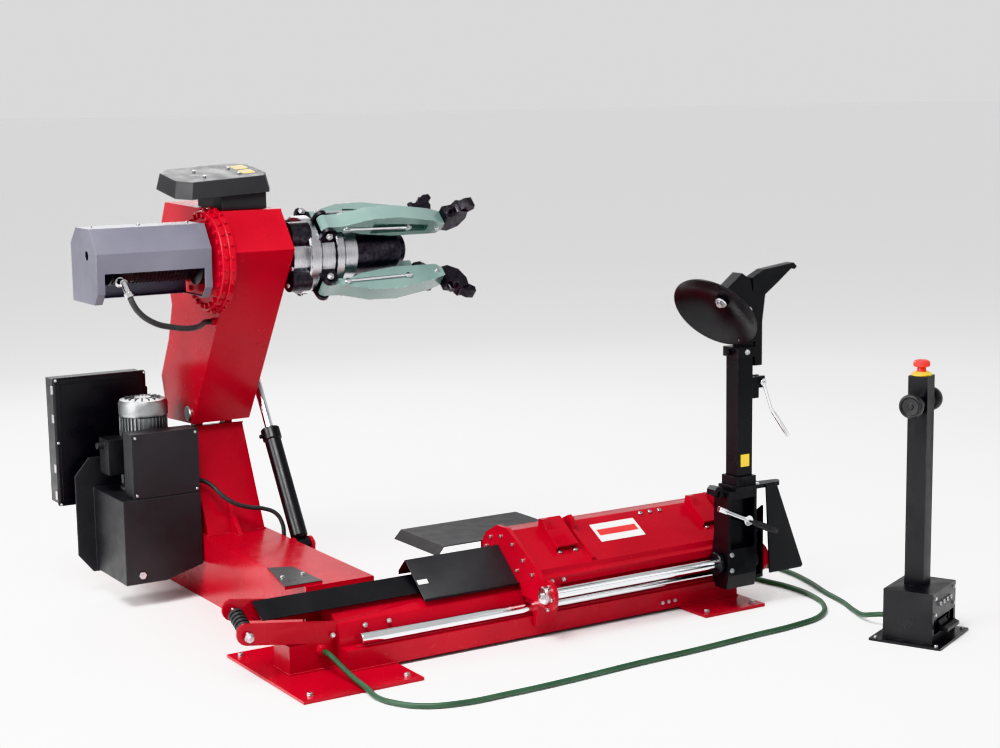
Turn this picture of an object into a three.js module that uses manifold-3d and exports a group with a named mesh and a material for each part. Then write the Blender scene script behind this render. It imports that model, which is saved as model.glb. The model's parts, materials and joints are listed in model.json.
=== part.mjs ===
// Heavy-vehicle tyre changer: a lifting chuck arm on a perpendicular base beam, a bed with round
// guide rods, a sliding carriage with a bead-breaking tool post, a hydraulic unit and a control
// pedestal on a cable.
// Millimetres. +Z up, +X along the bed, +Y from the operator's side to the back.
// The origin is on the floor plane at the bed's left end, on the line of the belt roller.

import * as THREE from 'three';
import { ConvexGeometry } from 'three/addons/geometries/ConvexGeometry.js';
import { mergeVertices } from 'three/addons/utils/BufferGeometryUtils.js';
import Module from 'manifold-3d';

const wasm = await Module();
wasm.setup();

// ---------------------------------------------------------------- driving dimensions

const GAP = 0.4;                    // air between pieces that touch
const WALL = 8;                     // plate thickness of the welded boxes

const BED_LENGTH = 1700;
const BED_FRONT = -170;             // Y of the front wall
const BED_BACK = 130;               // Y of the back wall
const FOOT_THICK = 12;

const LOWER_ROD = { y: -150, z: 114, r: 20 };
const REAR_ROD = { y: 163, z: 190, r: 16 };
const TOOL_ROD = { y: -280, z: 190, r: 20 };

const CARRIAGE_LEFT = 740;          // outer faces of the carriage's end flanges
const CARRIAGE_RIGHT = 1722;
const FLANGE_THICK = 16;

const BEAM = { x0: -20, x1: 250, top: 255, front: 96, rear: 1750 };
const TOWER = { x0: -4, x1: 238 };
const ARM = { x0: 5, x1: 250 };
const ARM_PIVOT = { y: 1165, z: 720 };
const SPINDLE = { y: 845, z: 1352 };

const CYLINDER_X = 300;
const CYLINDER_FOOT = { y: 790, z: 219 };
const CYLINDER_EYE = { y: 1200, z: 877 };

const JAW_COUNT = 4;
const POST = { x: 1608, y: -290, side: 70, bottom: 505, top: 975 };
const DISC_CENTRE = [1475, -310, 1150];
const DISC_AXIS = [-0.74, -0.24, -0.63];
const DISC_RADIUS = 168;

const PEDESTAL = { x: 1925, y: -925, turn: 25 };

// ---------------------------------------------------------------- colours and finishes

const finish = (color, roughness, metalness) =>
  new THREE.MeshStandardMaterial({ color, roughness, metalness });

const RED = finish(0xc8161d, 0.35, 0.1);
const BLACK = finish(0x17171a, 0.45, 0.1);
const DARK_SHEET = finish(0x2b2c30, 0.5, 0.3);
const GREY_SHEET = finish(0x74747f, 0.45, 0.2);
const CHROME = finish(0xd8dadd, 0.12, 1.0);
const STEEL = finish(0x9a9ca0, 0.35, 0.9);
const TEAL = finish(0x5f7f78, 0.3, 0.8);
const ALUMINIUM = finish(0xb4b6b9, 0.4, 0.9);
const RUBBER = finish(0x101112, 0.8, 0.0);
const CABLE = finish(0x3d5a44, 0.6, 0.0);
const STOP_RED = finish(0xd81f16, 0.4, 0.0);

// ---------------------------------------------------------------- solid modelling helpers

const rad = THREE.MathUtils.degToRad;
const v3 = (p) => new THREE.Vector3(p[0], p[1], p[2]);

function solid(geometry) {
  const bare = geometry.index ? geometry.toNonIndexed() : geometry.clone();
  bare.deleteAttribute('normal');
  bare.deleteAttribute('uv');
  const merged = mergeVertices(bare, 1e-4);
  return new wasm.Manifold(new wasm.Mesh({
    numProp: 3,
    vertProperties: new Float32Array(merged.attributes.position.array),
    triVerts: new Uint32Array(merged.index.array),
  }));
}

function surface(manifold) {
  const mesh = manifold.getMesh();
  const geometry = new THREE.BufferGeometry();
  geometry.setAttribute('position', new THREE.BufferAttribute(new Float32Array(mesh.vertProperties), 3));
  geometry.setIndex(new THREE.BufferAttribute(new Uint32Array(mesh.triVerts), 1));
  return geometry;
}

function join(...pieces) {
  let total = solid(pieces[0]);
  for (const piece of pieces.slice(1)) total = total.add(solid(piece));
  return surface(total);
}

function cut(base, ...tools) {
  let rest = solid(base);
  for (const tool of tools) rest = rest.subtract(solid(tool));
  return surface(rest);
}

function box(x0, x1, y0, y1, z0, z1) {
  const geometry = new THREE.BoxGeometry(x1 - x0, y1 - y0, z1 - z0);
  return geometry.translate((x0 + x1) / 2, (y0 + y1) / 2, (z0 + z1) / 2);
}

const outlineShape = (points) => new THREE.Shape(points.map(([u, v]) => new THREE.Vector2(u, v)));

function extruded(points, length, matrix) {
  const geometry = new THREE.ExtrudeGeometry(outlineShape(points), { depth: length,
      bevelEnabled: false });
  return geometry.applyMatrix4(matrix);
}

// An outline in (y, z), extruded from x0 to x1.
function prismX(points, x0, x1) {
  const turn = new THREE.Matrix4().set(0, 0, 1, x0, 1, 0, 0, 0, 0, 1, 0, 0, 0, 0, 0, 1);
  return extruded(points, x1 - x0, turn);
}

// An outline in (x, z), extruded from y0 to y1.
function prismY(points, y0, y1) {
  const turn = new THREE.Matrix4().set(1, 0, 0, 0, 0, 0, -1, y1, 0, 1, 0, 0, 0, 0, 0, 1);
  return extruded(points, y1 - y0, turn);
}

// An outline in (x, y), extruded from z0 to z1.
function prismZ(points, z0, z1) {
  return extruded(points, z1 - z0, new THREE.Matrix4().makeTranslation(0, 0, z0));
}

// A turned piece: a closed (radius, height) profile whose height runs from a point along a direction.
function turned(profile, from, direction, segments = 20) {
  const geometry = new THREE.LatheGeometry(profile.map(([r, h]) => new THREE.Vector2(r, h)), segments);
  const spin = new THREE.Quaternion().setFromUnitVectors(new THREE.Vector3(0, 1, 0),
      v3(direction).normalize());
  return geometry.applyQuaternion(spin).translate(from[0], from[1], from[2]);
}

function rod(from, to, radius, segments = 20) {
  const length = v3(to).distanceTo(v3(from));
  const direction = v3(to).sub(v3(from)).toArray();
  return turned([[0, 0], [radius, 0], [radius, length], [0, length]], from, direction, segments);
}

function ring(from, to, outer, inner, segments = 28) {
  const length = v3(to).distanceTo(v3(from));
  const direction = v3(to).sub(v3(from)).toArray();
  const profile = [[inner, 0], [outer, 0], [outer, length], [inner, length], [inner, 0]];
  return turned(profile, from, direction, segments);
}

// Moves each side of a closed outline inwards (or outwards, if the amount is negative).
function inset(points, amount) {
  const area = points.reduce((sum, [u, v], i) => {
    const [p, q] = points[(i + 1) % points.length];
    return sum + u * q - p * v;
  }, 0);
  const side = Math.sign(area) * amount;
  return points.map((point, i) => {
    const before = points[(i + points.length - 1) % points.length];
    const after = points[(i + 1) % points.length];
    return mitre(before, point, after, side);
  });
}

function mitre(before, point, after, side) {
  const normal = (a, b) => {
    const length = Math.hypot(b[0] - a[0], b[1] - a[1]);
    return [-(b[1] - a[1]) / length, (b[0] - a[0]) / length];
  };
  const n1 = normal(before, point);
  const n2 = normal(point, after);
  const scale = side / (1 + n1[0] * n2[0] + n1[1] * n2[1]);
  return [point[0] + (n1[0] + n2[0]) * scale, point[1] + (n1[1] + n2[1]) * scale];
}

// A bent sheet: the outline of an open path given a thickness on its left side.
function sheet(path, thick) {
  const last = path.length - 1;
  const stretch = (a, b) => [2 * a[0] - b[0], 2 * a[1] - b[1]];
  const far = path.map((point, i) => {
    const before = i === 0 ? stretch(path[0], path[1]) : path[i - 1];
    const after = i === last ? stretch(path[last], path[last - 1]) : path[i + 1];
    return mitre(before, point, after, thick);
  });
  return [...path, ...far.reverse()];
}

// Points along an arc, for round corners in outlines; angles in degrees.
function arc(u, v, radius, start, end, steps = 8) {
  return Array.from({ length: steps + 1 }, (_, i) => {
    const angle = rad(start + (end - start) * i / steps);
    return [u + radius * Math.cos(angle), v + radius * Math.sin(angle)];
  });
}

// A hexagon bolt head with its washer, standing on a point.
function boltHead(from, direction, size) {
  const head = turned([[0, 0], [size * 0.95, 0], [size * 0.95, size * 0.9], [0, size * 0.9]],
      from, direction, 6);
  const washer = turned([[0, -2], [size * 1.15, -2], [size * 1.15, size * 0.18], [0, size * 0.18]],
      from, direction, 12);
  return join(head, washer);
}

// A tube along a smooth curve through a list of points.
function hose(points, radius, steps, sides = 8) {
  const section = new THREE.Shape(arc(0, 0, radius, 0, 360 - 360 / sides, sides - 1).map(([u,
      v]) => new THREE.Vector2(u, v)));
  const path = new THREE.CatmullRomCurve3(points.map(v3), false, 'centripetal');
  return new THREE.ExtrudeGeometry(section, { steps, extrudePath: path, bevelEnabled: false });
}

// ---------------------------------------------------------------- the assembly

const machine = new THREE.Group();

function add(name, geometry, material) {
  const mesh = new THREE.Mesh(geometry, material);
  mesh.name = name;
  machine.add(mesh);
  return mesh;
}

// ---------------------------------------------------------------- bed

const BED_OUTLINE = [
  [BED_FRONT, FOOT_THICK + GAP], [BED_BACK, FOOT_THICK + GAP], [BED_BACK, 215], [75, 240], [45, 250],
  [-98, 165], [-115, 124],
  [-115, 85], [BED_FRONT, 85],
];

function bedFrame() {
  const outer = prismX(BED_OUTLINE, 0, BED_LENGTH);
  const inner = inset(BED_OUTLINE, WALL).map(([y, z]) => [y, z < 30 ? 0 : z]);
  const rail = box(40, BED_LENGTH - 20, LOWER_ROD.y - 6, LOWER_ROD.y + 6, 80,
      LOWER_ROD.z - LOWER_ROD.r - GAP);
  const shell = cut(outer, prismX(inner, WALL, 840), prismX(inner, 856, BED_LENGTH - WALL));
  const rearRail = box(272, BED_LENGTH, BED_BACK - 4, REAR_ROD.y + 6, 150, REAR_ROD.z - REAR_ROD.r - GAP);
  return join(shell, rail, rearRail, beltEars(), cableGland());
}

function cableGland() {
  const profile = [[0, 0], [22, 0], [22, 12], [16, 16], [15, 28], [0, 28]];
  return turned(profile, [CABLE_ROUTE[0][0], -90, CABLE_ROUTE[0][2]], [0, -1, 0], 12);
}

// Two ears carry the belt roller beyond the bed's left end; a leg under them stands on the foot.
function beltEars() {
  const ear = (y, lift) => {
    const tip = arc(-330, 183 + lift, 40, 110, 260, 6);
    const body = prismX([[y, 100], [y + 10, 100], [y + 10, 160], [y, 160]], -30, 20);
    const plate = prismY([[10, 95 + lift], [10, 172 + lift], ...tip], y, y + 10);
    return join(plate, body);
  };
  const bridge = box(-60, 4, -92, 34, 100, 150);
  const leg = box(-180, 4, -92, 34, FOOT_THICK + GAP, 112);
  const hollow = box(-168, -4, -82, 24, 0, 104);
  const pinHole = rod(rollerPoint(-110, -1), rollerPoint(60, -1), 9.4);
  return cut(join(ear(-92, 0), ear(24, 58), bridge, leg, box(-60, 4, 24, 34, 100, 215)), hollow, pinHole);
}

// The roller's axis leans with the slanted deck: a point on it for a given y.
function rollerPoint(y) {
  return [-330, y, 183 + (y + 87) * 0.5];
}

function rollerLength() {
  return [rollerPoint(-66), rollerPoint(8)];
}

function beltRoller() {
  const [from, to] = rollerLength();
  const length = v3(to).distanceTo(v3(from));
  const profile = [[9.8, 0], [27, 0]];
  for (let i = 1; i < 5; i += 1) {
    const h = length * i / 5;
    profile.push([27, h - 4], [23, h - 4], [23, h + 4], [27, h + 4]);
  }
  profile.push([27, length], [9.8, length], [9.8, 0]);
  return turned(profile, from, v3(to).sub(v3(from)).toArray(), 20);
}

function beltPin() {
  const from = rollerPoint(-103);
  const to = rollerPoint(42);
  const direction = v3(to).sub(v3(from)).normalize().toArray();
  return join(rod(from, to, 9), boltHead(from, direction.map((c) => -c), 15));
}

// A flat steel belt lies over the slanted deck, from the roller to the bed's right end.
function deckBelt() {
  const band = sheet([[-62, 212], [20, 261]], -3);
  return prismX(band, -262, BED_LENGTH - 60);
}

function footPlate(x0, x1, front) {
  return box(x0, x1, front, 260, 0, FOOT_THICK);
}

// ---------------------------------------------------------------- base beam and tower

function baseBeam() {
  const sole = FOOT_THICK + GAP;
  const side = [[BED_BACK + 1, sole], [BED_BACK + 1, 217], [BEAM.front, 234], [BEAM.front, BEAM.top],
    [BEAM.rear, BEAM.top], [BEAM.rear, 0], [262, 0], [262, sole]];
  const outer = prismX(side, BEAM.x0, BEAM.x1);
  const inner = (y0, y1) => box(BEAM.x0 + WALL, BEAM.x1 - WALL, y0, y1, WALL + 6, BEAM.top - WALL);
  const cells = [[140, 400], [408, 680], [688, 980], [1330, 1600], [1608, BEAM.rear + 5]];
  return cut(outer, ...cells.map(([y0, y1]) => inner(y0, y1)), box(BEAM.x0 + 40, BEAM.x1 - 40, 150,
      1700, -5, 20));
}

const TOWER_OUTLINE = [[995, BEAM.top + GAP], [1180, 660], [1330, 640], [1395, 590],
    [1330, BEAM.top + GAP]];

function tower() {
  const outer = prismX(TOWER_OUTLINE, TOWER.x0, TOWER.x1);
  const inner = inset(TOWER_OUTLINE, WALL);
  const shell = cut(outer, prismX(inner.map(([y, z]) => [y, z < 280 ? 240 : z]), TOWER.x0 + WALL,
      TOWER.x1 - WALL));
  const knuckle = arc(ARM_PIVOT.y, ARM_PIVOT.z, 33, -20, 285, 12);
  const cheek = (x0, x1) => prismX([[1230, 600], [1300, 600], ...knuckle], x0, x1);
  const hole = rod([0, ARM_PIVOT.y, ARM_PIVOT.z], [240, ARM_PIVOT.y, ARM_PIVOT.z], 18 + GAP);
  const gusset = prismX([[930, BEAM.top + GAP], [1010, BEAM.top + GAP], [1060, 395]], 100, 116);
  return cut(join(shell, cheek(40, 70), cheek(166, 196), gusset), hole);
}

// The foot bracket of the lift cylinder, on the beam's right side.
function cylinderBracket() {
  const { y, z } = CYLINDER_FOOT;
  const plate = (x0) => prismX([[y - 60, 60], [y + 60, 60], ...arc(y, z, 34, 0, 180, 6)], x0, x0 + 12);
  const web = box(BEAM.x1 - 2, CYLINDER_X + 42, y - 60, y + 60, 48, 74);
  const hole = rod([CYLINDER_X - 60, y, z], [CYLINDER_X + 60, y, z], 14 + GAP);
  return cut(join(web, plate(CYLINDER_X - 42), plate(CYLINDER_X + 30)), hole);
}

function hoseUnion() {
  return join(box(BEAM.x1 - 2, 280, 868, 892, 140, 165), rod([268, 880, 150], [268, 880, 190], 12, 12));
}

function beltBracket() {
  return prismZ([[-95, 112], [-34, 386], [50, 350], [52, 112]], BEAM.top - 2, BEAM.top + 8);
}

// ---------------------------------------------------------------- arm

const ARM_OUTLINE = [
  [1135, 682], [665, 1390], [778, 1537], [1330, 1550], [1385, 1450], [1300, 1141], [1350, 998],
  [1445, 839], [1395, 668],
];

// A point past the second of two points, on their line.
function beyond(from, to, distance) {
  const length = Math.hypot(to[0] - from[0], to[1] - from[1]);
  return [to[0] + (to[0] - from[0]) * distance / length, to[1] + (to[1] - from[1]) * distance / length];
}

function liftArm() {
  const outer = prismX(ARM_OUTLINE, ARM.x0, ARM.x1);
  const hollow = inset(ARM_OUTLINE, WALL);
  const last = hollow.length - 1;
  hollow[0] = beyond(hollow[1], hollow[0], 60);
  hollow[last] = beyond(hollow[last - 1], hollow[last], 60);
  const inner = prismX(hollow, ARM.x0 + WALL, ARM.x1 - WALL);
  const tube = ring([ARM.x0 + 2, SPINDLE.y, SPINDLE.z], [ARM.x1 - 2, SPINDLE.y, SPINDLE.z], 120, 92, 24);
  const webs = [prismX([[1080, 955], [1330, 1010], [1330, 1018], [1080, 963]], ARM.x0 + 4, ARM.x1 - 4),
    prismX([[905, 1060], [1290, 1165], [1290, 1173], [905, 1068]], ARM.x0 + 4, ARM.x1 - 4)];
  const shell = join(cut(outer, inner), tube, ...webs);
  const bore = rod([-10, SPINDLE.y, SPINDLE.z], [ARM.x1 + 10, SPINDLE.y, SPINDLE.z], 92, 24);
  const pin = rod([-10, ARM_PIVOT.y, ARM_PIVOT.z], [ARM.x1 + 10, ARM_PIVOT.y, ARM_PIVOT.z], 18 + GAP);
  return cut(shell, bore, pin);
}

function pivotPin() {
  const axis = (x) => [x, ARM_PIVOT.y, ARM_PIVOT.z];
  const leftCap = rod(axis(ARM.x0 - 9), axis(ARM.x0 - GAP), 30);
  const rightCap = rod(axis(ARM.x1 + GAP), axis(ARM.x1 + 9), 30);
  return join(rod(axis(ARM.x0 - 8), axis(ARM.x1 + 8), 18), leftCap, rightCap);
}

// A lug with a fixed pin on the arm's right side takes the cylinder rod's eye.
function liftLug() {
  const { y, z } = CYLINDER_EYE;
  const outline = [[y - 34, z - 50], [y + 60, z - 50], [y + 60, z + 60], [y - 34, z + 60]];
  const pad = prismX(outline, ARM.x1 - 2, ARM.x1 + 18);
  const boss = rod([ARM.x1 + 10, y, z], [CYLINDER_X + 26, y, z], 14);
  const collar = rod([CYLINDER_X + 19, y, z], [CYLINDER_X + 27, y, z], 27);
  return join(pad, boss, collar);
}

// The motor's oil hose goes into the arm here.
function armUnion() {
  return rod([-12, 870, 1117], [ARM.x0 + 3, 870, 1117], 14, 6);
}

// Two bolted rings join the gearbox to the arm's left side.
function gearRing(x0, x1, outer, bolts, start) {
  const ringBody = ring([x0, SPINDLE.y, SPINDLE.z], [x1, SPINDLE.y, SPINDLE.z], outer, 90, 32);
  const heads = Array.from({ length: bolts }, (_, i) => {
    const angle = rad(start + 360 * i / bolts);
    const y = SPINDLE.y + (outer - 17) * Math.cos(angle);
    const z = SPINDLE.z + (outer - 17) * Math.sin(angle);
    return rod([x0 - 8, y, z], [x0 + 2, y, z], 9, 6);
  });
  return join(ringBody, ...heads);
}

function spindleMotor() {
  const at = (x) => [x, SPINDLE.y, SPINDLE.z];
  const body = turned([[0, 0], [88, 0], [88, 40], [62, 44], [62, 300], [70, 304], [70, 380], [0, 380]],
    at(-46), [-1, 0, 0], 24);
  return body;
}

// A folded sheet cover over the motor: a cut-off octagon that is open underneath.
const COVER_LEFT = -512;
const COVER_OUTLINE = [[738, 1226], [703, 1266], [700, 1410], [760, 1498], [905, 1498], [965, 1440],
    [965, 1226]];

function motorCover() {
  const outline = COVER_OUTLINE.slice().reverse();
  const outer = prismX(outline, COVER_LEFT, -70);
  const inner = inset(outline, 3);
  const hollow = prismX(inner, COVER_LEFT + 3, -60);
  const window = box(COVER_LEFT + 30, -100, 660, 800, 1200, 1338);
  const bottom = box(COVER_LEFT + 20, -90, 760, 940, 1200, 1250);
  const peep = rod([COVER_LEFT - 10, 800, 1400], [COVER_LEFT + 10, 800, 1400], 18, 14);
  return cut(outer, hollow, window, bottom, peep);
}

function hoseElbow() {
  const hub = rod([-400, 810, 1300], [-400, 735, 1300], 15, 12);
  const drop = rod([-400, 742, 1305], [-388, 728, 1262], 12, 12);
  const nut = rod([-389, 729, 1265], [-384, 724, 1250], 16, 6);
  return join(hub, drop, nut);
}

function motorHose() {
  const route = [[-383.8, 723.7, 1249.4], [-377, 716, 1226], [-355, 710, 1190], [-300, 715, 1150],
      [-220, 735, 1125],
    [-140, 765, 1112], [-80, 815, 1112], [-50, 855, 1116], [-32, 870, 1117], [-12.4, 870, 1117]];
  return hose(route, 11, 32);
}

// The guard on the arm's top is an octagonal pan whose rim is wider than its lid. It leans to the front.
const GUARD = { x0: -143, x1: 219, y0: 792, y1: 1046, corner: 48, front: 1645, height: 62, flare: 12 };

function guardLevel(grow, drop) {
  const { x0, x1, y0, y1, corner } = GUARD;
  const [l, r, f, b] = [x0 - grow, x1 + grow, y0 - grow, y1 + grow];
  const plan = [[l + corner, f], [r - corner / 2, f], [r, f + corner], [r, b - corner], [r - corner, b],
    [l + corner, b], [l, b - corner], [l, f + corner]];
  return plan.map(([x, y]) => new THREE.Vector3(x, y,
      GUARD.front - drop + 0.06 * (x - x0) + 0.16 * (y - y0)));
}

function topGuard() {
  const pan = new ConvexGeometry([...guardLevel(0, 0), ...guardLevel(GUARD.flare, GUARD.height)]);
  const hollow = new ConvexGeometry([...guardLevel(-4, 4), ...guardLevel(GUARD.flare - 4,
      GUARD.height + 6)]);
  return cut(pan, hollow);
}

function guardBase() {
  const outer = prismX([[796, 1539], [1030, 1545], [1030, 1690], [796, 1653]], 20, 200);
  return cut(outer, box(24, 196, 800, 1026, 1530, 1640));
}

// ---------------------------------------------------------------- chuck

function chuckBody() {
  const at = (x) => [x, SPINDLE.y, SPINDLE.z];
  const profile = [[0, 0], [86, 0], [86, 22], [118, 24], [118, 80], [150, 84], [150, 130], [134, 134],
      [134, 190],
    [144, 194], [144, 232], [112, 236], [112, 300], [0, 300]];
  return turned(profile, at(ARM.x1 + 2), [1, 0, 0], 24);
}

function chuckCore() {
  const at = (x) => [x, SPINDLE.y, SPINDLE.z];
  return turned([[0, 0], [88, 0], [92, 12], [92, 190], [84, 204], [60, 206], [60, 240], [0, 240]],
    at(ARM.x1 + 302.4), [1, 0, 0], 24);
}

const JAW_ROOT = { x: 405, r: 168 };

// The outline of a jaw arm in its own plane: x along the spindle, and the distance from its axis.
const JAW_SIDE = [[392, 150], [430, 158], [500, 158], [560, 138], [700, 118], [900, 118], [920, 140],
    [920, 176],
  [860, 196], [700, 226], [580, 222], [470, 190], [392, 186]];

function jawTurn(index) {
  return rad(45 + 360 * index / JAW_COUNT);
}

// Turns a piece made in the spindle's own frame (x along it, z outwards) to a jaw's place.
function placeOnSpindle(geometry, angle) {
  return geometry.rotateX(angle - Math.PI / 2).translate(0, SPINDLE.y, SPINDLE.z);
}

function jawArm(index) {
  const plate = prismY(JAW_SIDE, -32, 32);
  const slot = prismY([[600, 138], [850, 138], [850, 172], [600, 196]], -24, 24);
  const knuckle = rod([JAW_ROOT.x, -33, JAW_ROOT.r], [JAW_ROOT.x, 33, JAW_ROOT.r], 21, 20);
  const pinHole = rod([JAW_ROOT.x, -40, JAW_ROOT.r], [JAW_ROOT.x, 40, JAW_ROOT.r], 10 + GAP, 16);
  const openSlot = cut(join(plate, knuckle), slot.translate(0, -14, 0), pinHole);
  return placeOnSpindle(openSlot, jawTurn(index));
}

function jawTip(index) {
  const block = prismY([[920.4, 132], [950, 126], [992, 150], [1010, 196], [1004, 236], [970, 240],
      [958, 214], [920.4, 206]], -30, 30);
  const claw = prismY([[962, 228], [1012, 222], [1034, 240], [1030, 262], [1000, 258]], -22, 22);
  const stop = rod([938, 0, 196], [938, 0, 232], 12, 12);
  return placeOnSpindle(join(block, claw, stop), jawTurn(index));
}

function chuckBoss(index) {
  return placeOnSpindle(rod([264, 0, 118], [345, 0, 118], 50, 20), jawTurn(index));
}

function jawCarrier(index) {
  const lug = (y0, y1) => prismY([[372, 119], [440, 119], [440, 172], ...arc(405, 168, 26, 10, 180, 6)],
      y0, y1);
  const base = box(372, 440, -52, 52, 125, 143);
  const pin = rod([JAW_ROOT.x, -58, JAW_ROOT.r], [JAW_ROOT.x, 58, JAW_ROOT.r], 10, 16);
  return placeOnSpindle(join(lug(-52, -36), lug(36, 52), base, pin), jawTurn(index));
}

// ---------------------------------------------------------------- lift cylinder

const CYLINDER_LINE = new THREE.Vector3(0, CYLINDER_EYE.y - CYLINDER_FOOT.y,
    CYLINDER_EYE.z - CYLINDER_FOOT.z).normalize();

function onCylinder(distance) {
  return [CYLINDER_X, CYLINDER_FOOT.y + CYLINDER_LINE.y * distance,
      CYLINDER_FOOT.z + CYLINDER_LINE.z * distance];
}

function cylinderBarrel() {
  const profile = [[0, 0], [22, 0], [34, 14], [34, 452], [39, 454], [39, 500], [18.5, 500], [18.5, 60],
      [0, 60]];
  const tube = turned(profile, onCylinder(26), CYLINDER_LINE.toArray(), 24);
  const eye = rod([CYLINDER_X - 27, CYLINDER_FOOT.y, CYLINDER_FOOT.z],
      [CYLINDER_X + 27, CYLINDER_FOOT.y, CYLINDER_FOOT.z], 30, 24);
  const port = rod(onCylinder(470), [CYLINDER_X - 52, onCylinder(470)[1] - 4, onCylinder(470)[2] + 4],
      9, 12);
  const hole = rod([CYLINDER_X - 40, CYLINDER_FOOT.y, CYLINDER_FOOT.z],
      [CYLINDER_X + 40, CYLINDER_FOOT.y, CYLINDER_FOOT.z], 14 + GAP, 20);
  const bore = rod(onCylinder(86), onCylinder(540), 18.5, 24);
  return cut(join(tube, eye, port), hole, bore);
}

function cylinderRod() {
  const { y, z } = CYLINDER_EYE;
  const length = v3(onCylinder(0)).distanceTo(v3([CYLINDER_X, y, z]));
  const shaft = rod(onCylinder(240), onCylinder(length - 24), 18, 24);
  const eye = rod([CYLINDER_X - 15, y, z], [CYLINDER_X + 15, y, z], 40, 24);
  const slot = rod([CYLINDER_X - 20, y, z], [CYLINDER_X + 20, y, z], 24, 24);
  return cut(join(shaft, eye), slot);
}

function cylinderPin() {
  const at = (x) => [x, CYLINDER_FOOT.y, CYLINDER_FOOT.z];
  return join(rod(at(CYLINDER_X - 48), at(CYLINDER_X + 48), 14, 20), rod(at(CYLINDER_X + 42.5),
      at(CYLINDER_X + 52), 21, 20));
}

// ---------------------------------------------------------------- hydraulic unit and electrics

function oilTank() {
  const outline = [[-345, 105], [-180, 105], [-27, 150], [-27, 437], [-345, 437]];
  const filler = rod([-70, 1280, 425], [-70, 1280, 445], 22, 16);
  return cut(prismY(outline, 1000, 1325), prismY(inset(outline, 6), 1006, 1319), filler);
}

function tankPlate() {
  const corners = [[-420, 170], [-360, 96], [-27, 96], [-27, 560], [-360, 560], [-420, 490]];
  return prismY(corners, 1323, 1333);
}

function valveCover() {
  const outer = box(-300, -27, 1003, 1094, 437.4, 690);
  return cut(outer, box(-296, -31, 1010, 1100, 430, 686), rod([-60, 1052, 470], [0, 1052, 470], 15, 12));
}

function valveBlock() {
  const block = box(-250, -70, 1020, 1085, 437.6, 540);
  const union = rod([-80, 1052, 470], [-20, 1052, 470], 13, 12);
  return join(block, union);
}

function pumpMotor() {
  const profile = [[0, 0], [100, 0], [100, 14], [88, 16], [88, 290], [96, 292], [96, 308], [0, 308]];
  return turned(profile, [-170, 1208, 437.4], [0, 0, 1], 24);
}

function motorFanCap() {
  const profile = [[0, 0], [97, 0], [97, 34], [86, 50], [40, 56], [0, 56]];
  return turned(profile, [-170, 1208, 744], [0, 0, 1], 24);
}

function terminalBox() {
  return box(-338, -259, 1158, 1258, 510, 650);
}

function terminalGland() {
  return rod([-368, 1205, 625], [-336, 1205, 625], 14, 12);
}

function electricalBox() {
  return cut(box(-463, -92, 1404.4, 1492, 371, 870), box(-460, -95, 1400, 1489, 374, 867));
}

function electricalCover() {
  return box(-470, -85, 1382, 1404, 362, 878);
}

function boxBracket() {
  return join(box(-300, -200, 1333.4, 1480, 346, 360), box(-300, -200, 1420, 1480, 350, 375));
}

function liftHose() {
  const route = [[-19.6, 1052, 470], [-2, 1052, 470], [30, 1026, 450], [60, 985, 410], [100, 960, 380],
      [150, 945, 362],
    [210, 932, 350], [250, 915, 330], [268, 895, 290], [268, 882, 240], [268, 880, 190.5]];
  return hose(route, 9, 32);
}

// ---------------------------------------------------------------- carriage

const CARRIAGE_PATH = [[-228, 205], [-228, 234], [-212, 244], [-208, 263], [-20, 372], [45, 372],
    [122, 334], [140, 300], [140, 216]];

function carriageShell() {
  const skin = prismX(sheet(CARRIAGE_PATH, -10), CARRIAGE_LEFT + FLANGE_THICK + GAP,
      CARRIAGE_RIGHT - FLANGE_THICK - GAP);
  const latches = [[872, 968], [1552, 1640]].map(([x0, x1]) => latchBracket(x0, x1));
  const straps = [990, 1662].map((x0) => saddleStrap(x0, x0 + 16));
  return join(skin, ...latches, ...straps);
}

const FLANGE_OUTLINE = [
  [-192, 146], [-192, 153], [-118, 153], [-112, 180], [-68, 218], [20, 270], [62, 270], [138, 236],
  [138, 216],
  [152, 216], [152, 305], [126, 342], [50, 382], [-24, 382], [-222, 268],
  ...arc(TOOL_ROD.y, TOOL_ROD.z, 56, 60, 290, 10),
];

function carriageFlange(x0) {
  const bore = rod([x0 - 5, TOOL_ROD.y, TOOL_ROD.z], [x0 + 25, TOOL_ROD.y, TOOL_ROD.z], TOOL_ROD.r + GAP);
  return cut(prismX(FLANGE_OUTLINE, x0, x0 + FLANGE_THICK), bore);
}

function lowerBearing(x0, x1) {
  const outline = [[-184, 50], [-172.5, 50], [-172.5, 90], [-118.5, 90], [-118.5, 145.6], [-193, 145.6],
    [-200, 204], [-216, 204], [-216, 190]];
  const bore = rod([x0 - 5, LOWER_ROD.y, LOWER_ROD.z], [x1 + 5, LOWER_ROD.y, LOWER_ROD.z],
      LOWER_ROD.r + 0.8, 24);
  return cut(prismX(outline, x0, x1), bore, box(x0 - 5, x1 + 5, LOWER_ROD.y - 9, LOWER_ROD.y + 9, 40,
      LOWER_ROD.z));
}

function rearBearing(x0, x1) {
  const bore = rod([x0 - 5, REAR_ROD.y, REAR_ROD.z], [x1 + 5, REAR_ROD.y, REAR_ROD.z], REAR_ROD.r + 0.8);
  return cut(box(x0, x1, 140.4, 188, 160, 290), bore, box(x0 - 5, x1 + 5, 120, 172, 150, 180));
}

function endPlate(x0, side) {
  const inner = side > 0 ? x0 + FLANGE_THICK - 2 : x0 - 88;
  const plate = join(carriageFlange(x0), lowerBearing(inner, inner + 90), rearBearing(inner, inner + 90));
  return side > 0 ? join(plate, toolRodCap()) : plate;
}

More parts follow.
